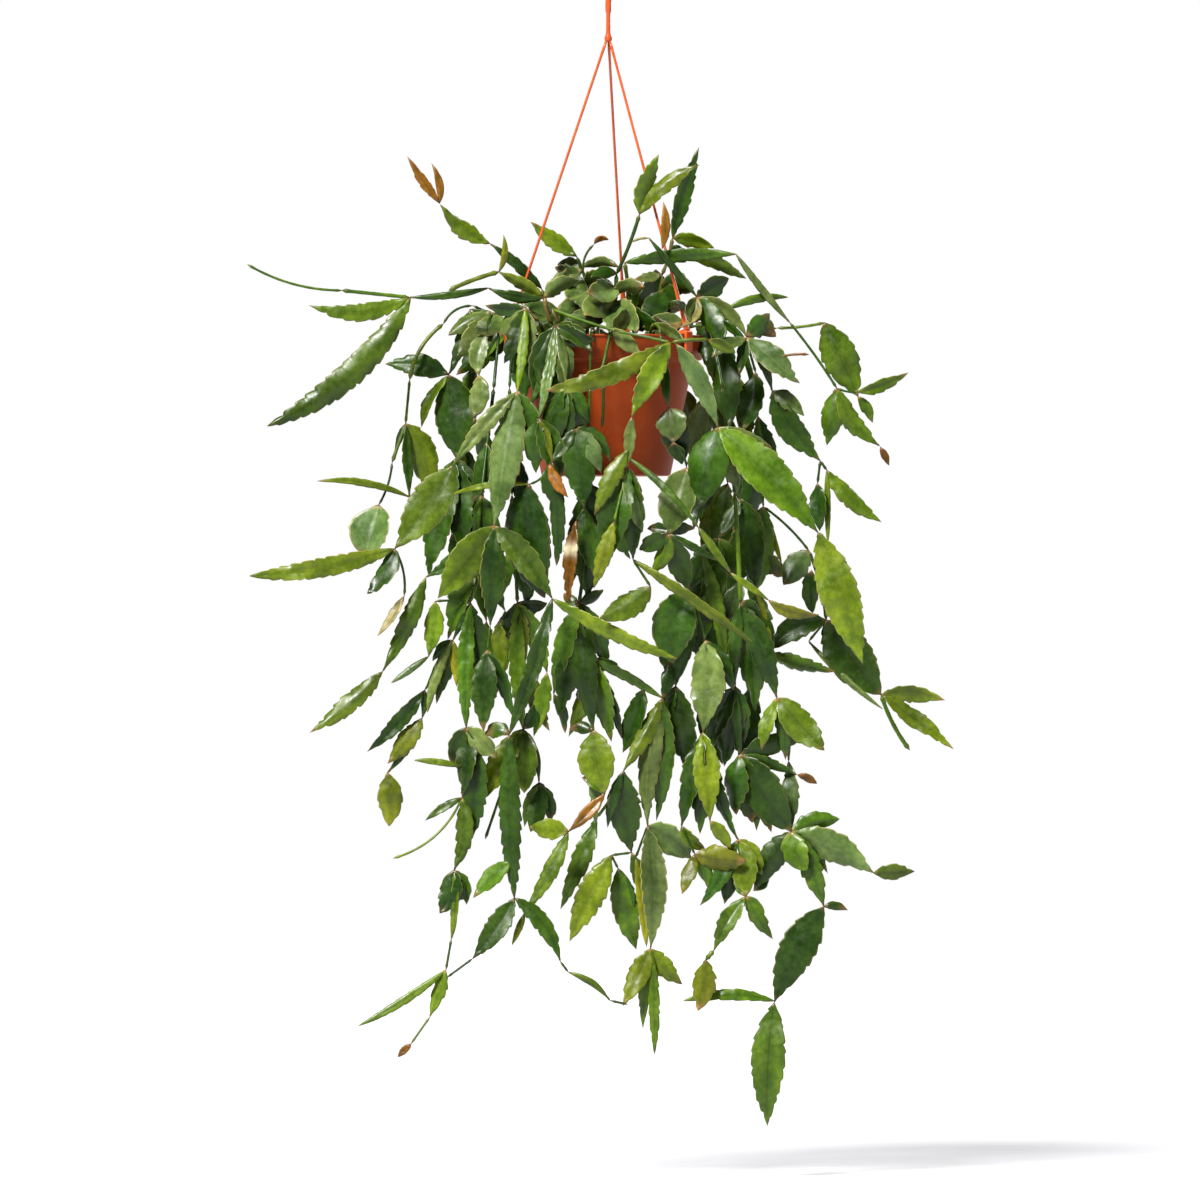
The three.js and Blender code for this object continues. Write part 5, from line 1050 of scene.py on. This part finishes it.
def drilled(bm, drills):
    """A mesh with the drills cut away from it."""
    bodies = []
    for name, part in (("blank", bm), ("drills", drills)):
        bmesh.ops.recalc_face_normals(part, faces=part.faces)
        mesh = bpy.data.meshes.new(name)
        part.to_mesh(mesh)
        part.free()
        bodies.append(bpy.data.objects.new(name, mesh))
        bpy.context.scene.collection.objects.link(bodies[-1])
    cut = bodies[0].modifiers.new("holes", "BOOLEAN")
    cut.operation, cut.object, cut.solver = "DIFFERENCE", bodies[1], "EXACT"
    result = bmesh.new()
    result.from_object(bodies[0], bpy.context.evaluated_depsgraph_get())
    for body in bodies:
        bpy.data.meshes.remove(body.data)
    return result


def make_pot(material):
    """Tapered pot with a collar, a rounded rim and six drain holes in its floor."""
    drills = bmesh.new()
    for hole in range(DRAIN_HOLES):
        turn = math.radians(360 / DRAIN_HOLES * (hole + 0.5))
        x, y = DRAIN_CIRCLE * math.cos(turn), DRAIN_CIRCLE * math.sin(turn)
        place = Matrix.Translation((x, y, DRILL_HEIGHT))
        bmesh.ops.create_cone(drills, cap_ends=True, segments=24, radius1=DRAIN_RADIUS,
                              radius2=DRAIN_RADIUS, depth=DRILL_LENGTH, matrix=place)
    bm = drilled(turned(POT_OUTLINE, POT_STEPS), drills)
    settle(bm, "pot_shell", material, "pot")


def soil_height(radius):
    return SOIL_TOP + SOIL_DOME * (1 - (radius / SOIL_RADIUS) ** 2)


def add_chip(bm, rng):
    """A bark chip pressed into the soil."""
    radius, turn = CHIP_SPREAD * math.sqrt(rng.random()), rng.uniform(0, 2 * math.pi)
    size = rng.uniform(*CHIP_SIZE)
    z = soil_height(radius) + size * 0.1
    spot = Matrix.Translation((radius * math.cos(turn), radius * math.sin(turn), z))
    spin = Quaternion((rng.random(), rng.random(), rng.random()), rng.uniform(0, 6)).to_matrix().to_4x4()
    shape = Matrix.Diagonal((size, size * rng.uniform(*CHIP_WIDTH), size * rng.uniform(*CHIP_DEPTH), 1))
    bmesh.ops.create_icosphere(bm, subdivisions=1, radius=1, matrix=spot @ spin @ shape)


def make_soil(material):
    """Domed, crumbly potting soil with bark chips pressed into it."""
    rng = random.Random("soil")
    top = [(radius, soil_height(radius)) for radius in range(60, -1, -3)]
    bm = turned(SOIL_SIDE + top, SOIL_STEPS)
    for vert in bm.verts:
        if vert.co.z > SOIL_TOP - 0.2:
            rise = sum(noise.noise(vert.co * scale) * height for scale, height in (LUMPS, CRUMBS))
            vert.co.z += rise * min(1, (SOIL_RADIUS - vert.co.xy.length) / FADE_OUT)
    for _ in range(CHIPS):
        add_chip(bm, rng)
    settle(bm, "soil_bed", material, "soil")


def bar_frame(at, travel, across, wide, deep):
    """Where one ring of a bar lies: its middle, its heading and its half width and half depth."""
    travel = travel.normalized()
    across = (across - travel * across.dot(travel)).normalized()
    other = travel.cross(across)
    turn = Matrix((across, other, travel)).transposed().to_4x4()
    return Matrix.Translation(at) @ turn @ Matrix.Diagonal((wide, deep, 1, 1))


def add_bar(bm, rings, sides=16):
    """A closed bar drawn out ring by ring from a first disc."""
    made = bmesh.ops.create_circle(bm, cap_ends=True, segments=sides, radius=1, matrix=rings[0])
    edges = list({edge for vert in made["verts"] for edge in vert.link_edges})
    for before, after in zip(rings, rings[1:]):
        drawn = bmesh.ops.extrude_edge_only(bm, edges=edges)["geom"]
        verts = [item for item in drawn if isinstance(item, bmesh.types.BMVert)]
        ends = set(verts)
        edges = [item for item in drawn if isinstance(item, bmesh.types.BMEdge)]
        edges = [edge for edge in edges if ends.issuperset(edge.verts)]
        bmesh.ops.transform(bm, matrix=after @ before.inverted(), verts=verts)
    bmesh.ops.edgeloop_fill(bm, edges=edges)


def make_hook(material):
    """Shank with its foot where the wires meet, and the round hook above it."""
    across, up = Vector((0, 1, 0)), Vector((0, 0, 1))
    rings = [bar_frame(Vector((JOIN_X, 0, z)), up, across, r, r) for z, r in FOOT_RINGS]
    bend = []
    for degrees in HOOK_DEGREES:
        turn = math.radians(degrees)
        x, z = JOIN_X + HOOK_RADIUS * math.cos(turn), HOOK_CENTRE_Z + HOOK_RADIUS * math.sin(turn)
        bend.append((Vector((x, 0, z)), Vector((-math.sin(turn), 0, math.cos(turn)))))
    low, (high, heading) = Vector((JOIN_X, 0, SHANK_TOP)), bend[0]
    pull_low, pull_high = low + up * SHANK_PULL, high - heading * SHANK_PULL
    for step in range(1, SHANK_STEPS):
        t = step / SHANK_STEPS
        at = low * (1 - t) ** 3 + pull_low * 3 * t * (1 - t) ** 2
        at = at + pull_high * 3 * t * t * (1 - t) + high * t ** 3
        rings.append(bar_frame(at, up.lerp(heading, eased(t)), across, BAR_RADIUS, BAR_RADIUS))
    rings += [bar_frame(at, ahead, across, BAR_RADIUS, BAR_RADIUS) for at, ahead in bend]
    at, ahead = bend[-1]
    rings += [bar_frame(at + ahead * out, ahead, across, r, r) for out, r in TIP_RINGS]
    bm = bmesh.new()
    add_bar(bm, rings, BAR_SIDES)
    settle(bm, "hook_bar", material, "hanger_hook")


def add_clip(bm, out, along_rim):
    """The clip that grips the pot's rim, drawn from its outline, with its edges rounded."""
    half = along_rim * (CLIP_WIDTH / 2)
    corners = [bm.verts.new(out * r + Vector((0, 0, z)) - half) for r, z in CLIP_OUTLINE]
    cheek = bm.faces.new(corners)
    drawn = bmesh.ops.extrude_face_region(bm, geom=[cheek])["geom"]
    moved = [item for item in drawn if isinstance(item, bmesh.types.BMVert)]
    bmesh.ops.translate(bm, verts=moved, vec=along_rim * CLIP_WIDTH)
    block = set(corners + moved)
    edges = [edge for edge in bm.edges if block.issuperset(edge.verts)]
    bmesh.ops.recalc_face_normals(bm, faces=bm.faces)
    bmesh.ops.bevel(bm, geom=edges, offset=CLIP_ROUNDING, offset_type="OFFSET", segments=2, profile=0.5,
                    affect="EDGES", material=-1)


def make_wire(side, azimuth, material):
    """A hanger wire that flattens into a strap, with its clip."""
    bm = bmesh.new()
    turn = math.radians(azimuth)
    out = Vector((math.cos(turn), math.sin(turn), 0))
    along_rim = Vector((-math.sin(turn), math.cos(turn), 0))
    start = Vector((JOIN_X, 0, WIRE_START_Z)) + out * WIRE_START_OUT
    travel = out * WIRE_END_OUT + Vector((0, 0, WIRE_END_Z)) - start
    rings = [bar_frame(start + travel * t, travel, along_rim, wide, deep) for t, wide, deep in WIRE_RINGS]
    add_bar(bm, rings)
    add_clip(bm, out, along_rim)
    settle(bm, f"wire_{side}", material, f"hanger_wire_{side}")


# Pieces
green = skin_finish("green_skin")
orange = skin_finish("orange_skin")
hanger = hanger_finish()
make_pot(pot_finish())
make_soil(soil_finish())
make_hook(hanger)
for side, azimuth in WIRE_AZIMUTH.items():
    make_wire(side, azimuth, hanger)
for node, runs in SHOOTS.items():
    runs = rooted(runs + FILL.get(node, []))
    make_growth(node, runs, node.replace("shoot", "green_shoot"), green)
for node, runs in YOUNG.items():
    make_growth(node, runs, node.replace("young", "orange"), orange)


# Floor, light and camera


def make_floor():
    """A wide pale disc below the plant, which glows a little so that it looks white."""
    bm = bmesh.new()
    bmesh.ops.create_circle(bm, cap_ends=True, segments=96, radius=FLOOR_RADIUS)
    bmesh.ops.translate(bm, verts=bm.verts, vec=(0, 0, FLOOR_Z))
    mesh = bpy.data.meshes.new("floor")
    bm.to_mesh(mesh)
    bm.free()
    material, tree, shader = new_finish("pale_floor")
    grain = ranged(tree, speckle(tree, 3, 3.0), 0.3, 0.7)
    pale = blended(tree, grain, (0.31, 0.31, 0.33, 1), (0.33, 0.33, 0.35, 1))
    tree.links.new(pale, shader.inputs["Base Color"])
    shader.inputs["Roughness"].default_value = 0.9
    shader.inputs["Specular IOR Level"].default_value = 0
    shader.inputs["Emission Color"].default_value = (1, 1, 1, 1)
    shader.inputs["Emission Strength"].default_value = FLOOR_GLOW
    mesh.materials.append(material)
    floor = bpy.data.objects.new("floor", mesh)
    bpy.context.scene.collection.objects.link(floor)


def add_sun(name, towards, strength, angle, colour):
    """A sun that shines in a direction, its size in the sky given in degrees."""
    light = bpy.data.lights.new(name, "SUN")
    light.energy, light.angle, light.color = strength, math.radians(angle), colour
    lamp = bpy.data.objects.new(name, light)
    lamp.rotation_mode = "QUATERNION"
    lamp.rotation_quaternion = Vector(towards).to_track_quat("-Z", "Y")
    bpy.context.scene.collection.objects.link(lamp)


def light_room():
    """An even white room, dimmer as a light than it looks."""
    world = bpy.data.worlds.new("studio")
    world.use_nodes = True
    tree = world.node_tree
    background = tree.nodes["Background"]
    seen = add_node(tree, "ShaderNodeLightPath").outputs["Is Camera Ray"]
    background.inputs["Color"].default_value = (1, 1, 1, 1)
    tree.links.new(ranged(tree, seen, 0.0, 1.0, ROOM_GLOW, 1.0), background.inputs["Strength"])
    bpy.context.scene.world = world


def place_camera():
    """A long lens from far off, level, in front of the middle of the plant."""
    data = bpy.data.cameras.new("camera")
    data.lens, data.sensor_width, data.clip_end = CAMERA_LENS, CAMERA_SENSOR, CAMERA_REACH
    camera = bpy.data.objects.new("camera", data)
    camera.location = CAMERA_PLACE
    camera.rotation_euler = (math.pi / 2, 0, 0)
    bpy.context.scene.collection.objects.link(camera)
    bpy.context.scene.camera = camera


make_floor()
light_room()
add_sun("window", (0.52, 0.75, -1.0), 8.4, 16, SUNLIGHT)
add_sun("fill", (-0.8, 0.7, -0.25), 0.35, 60, SKYLIGHT)
add_sun("rear", (-0.45, -1.0, -0.5), 2.4, 50, SKYLIGHT)
place_camera()
bpy.context.scene.view_settings.view_transform = "Standard"
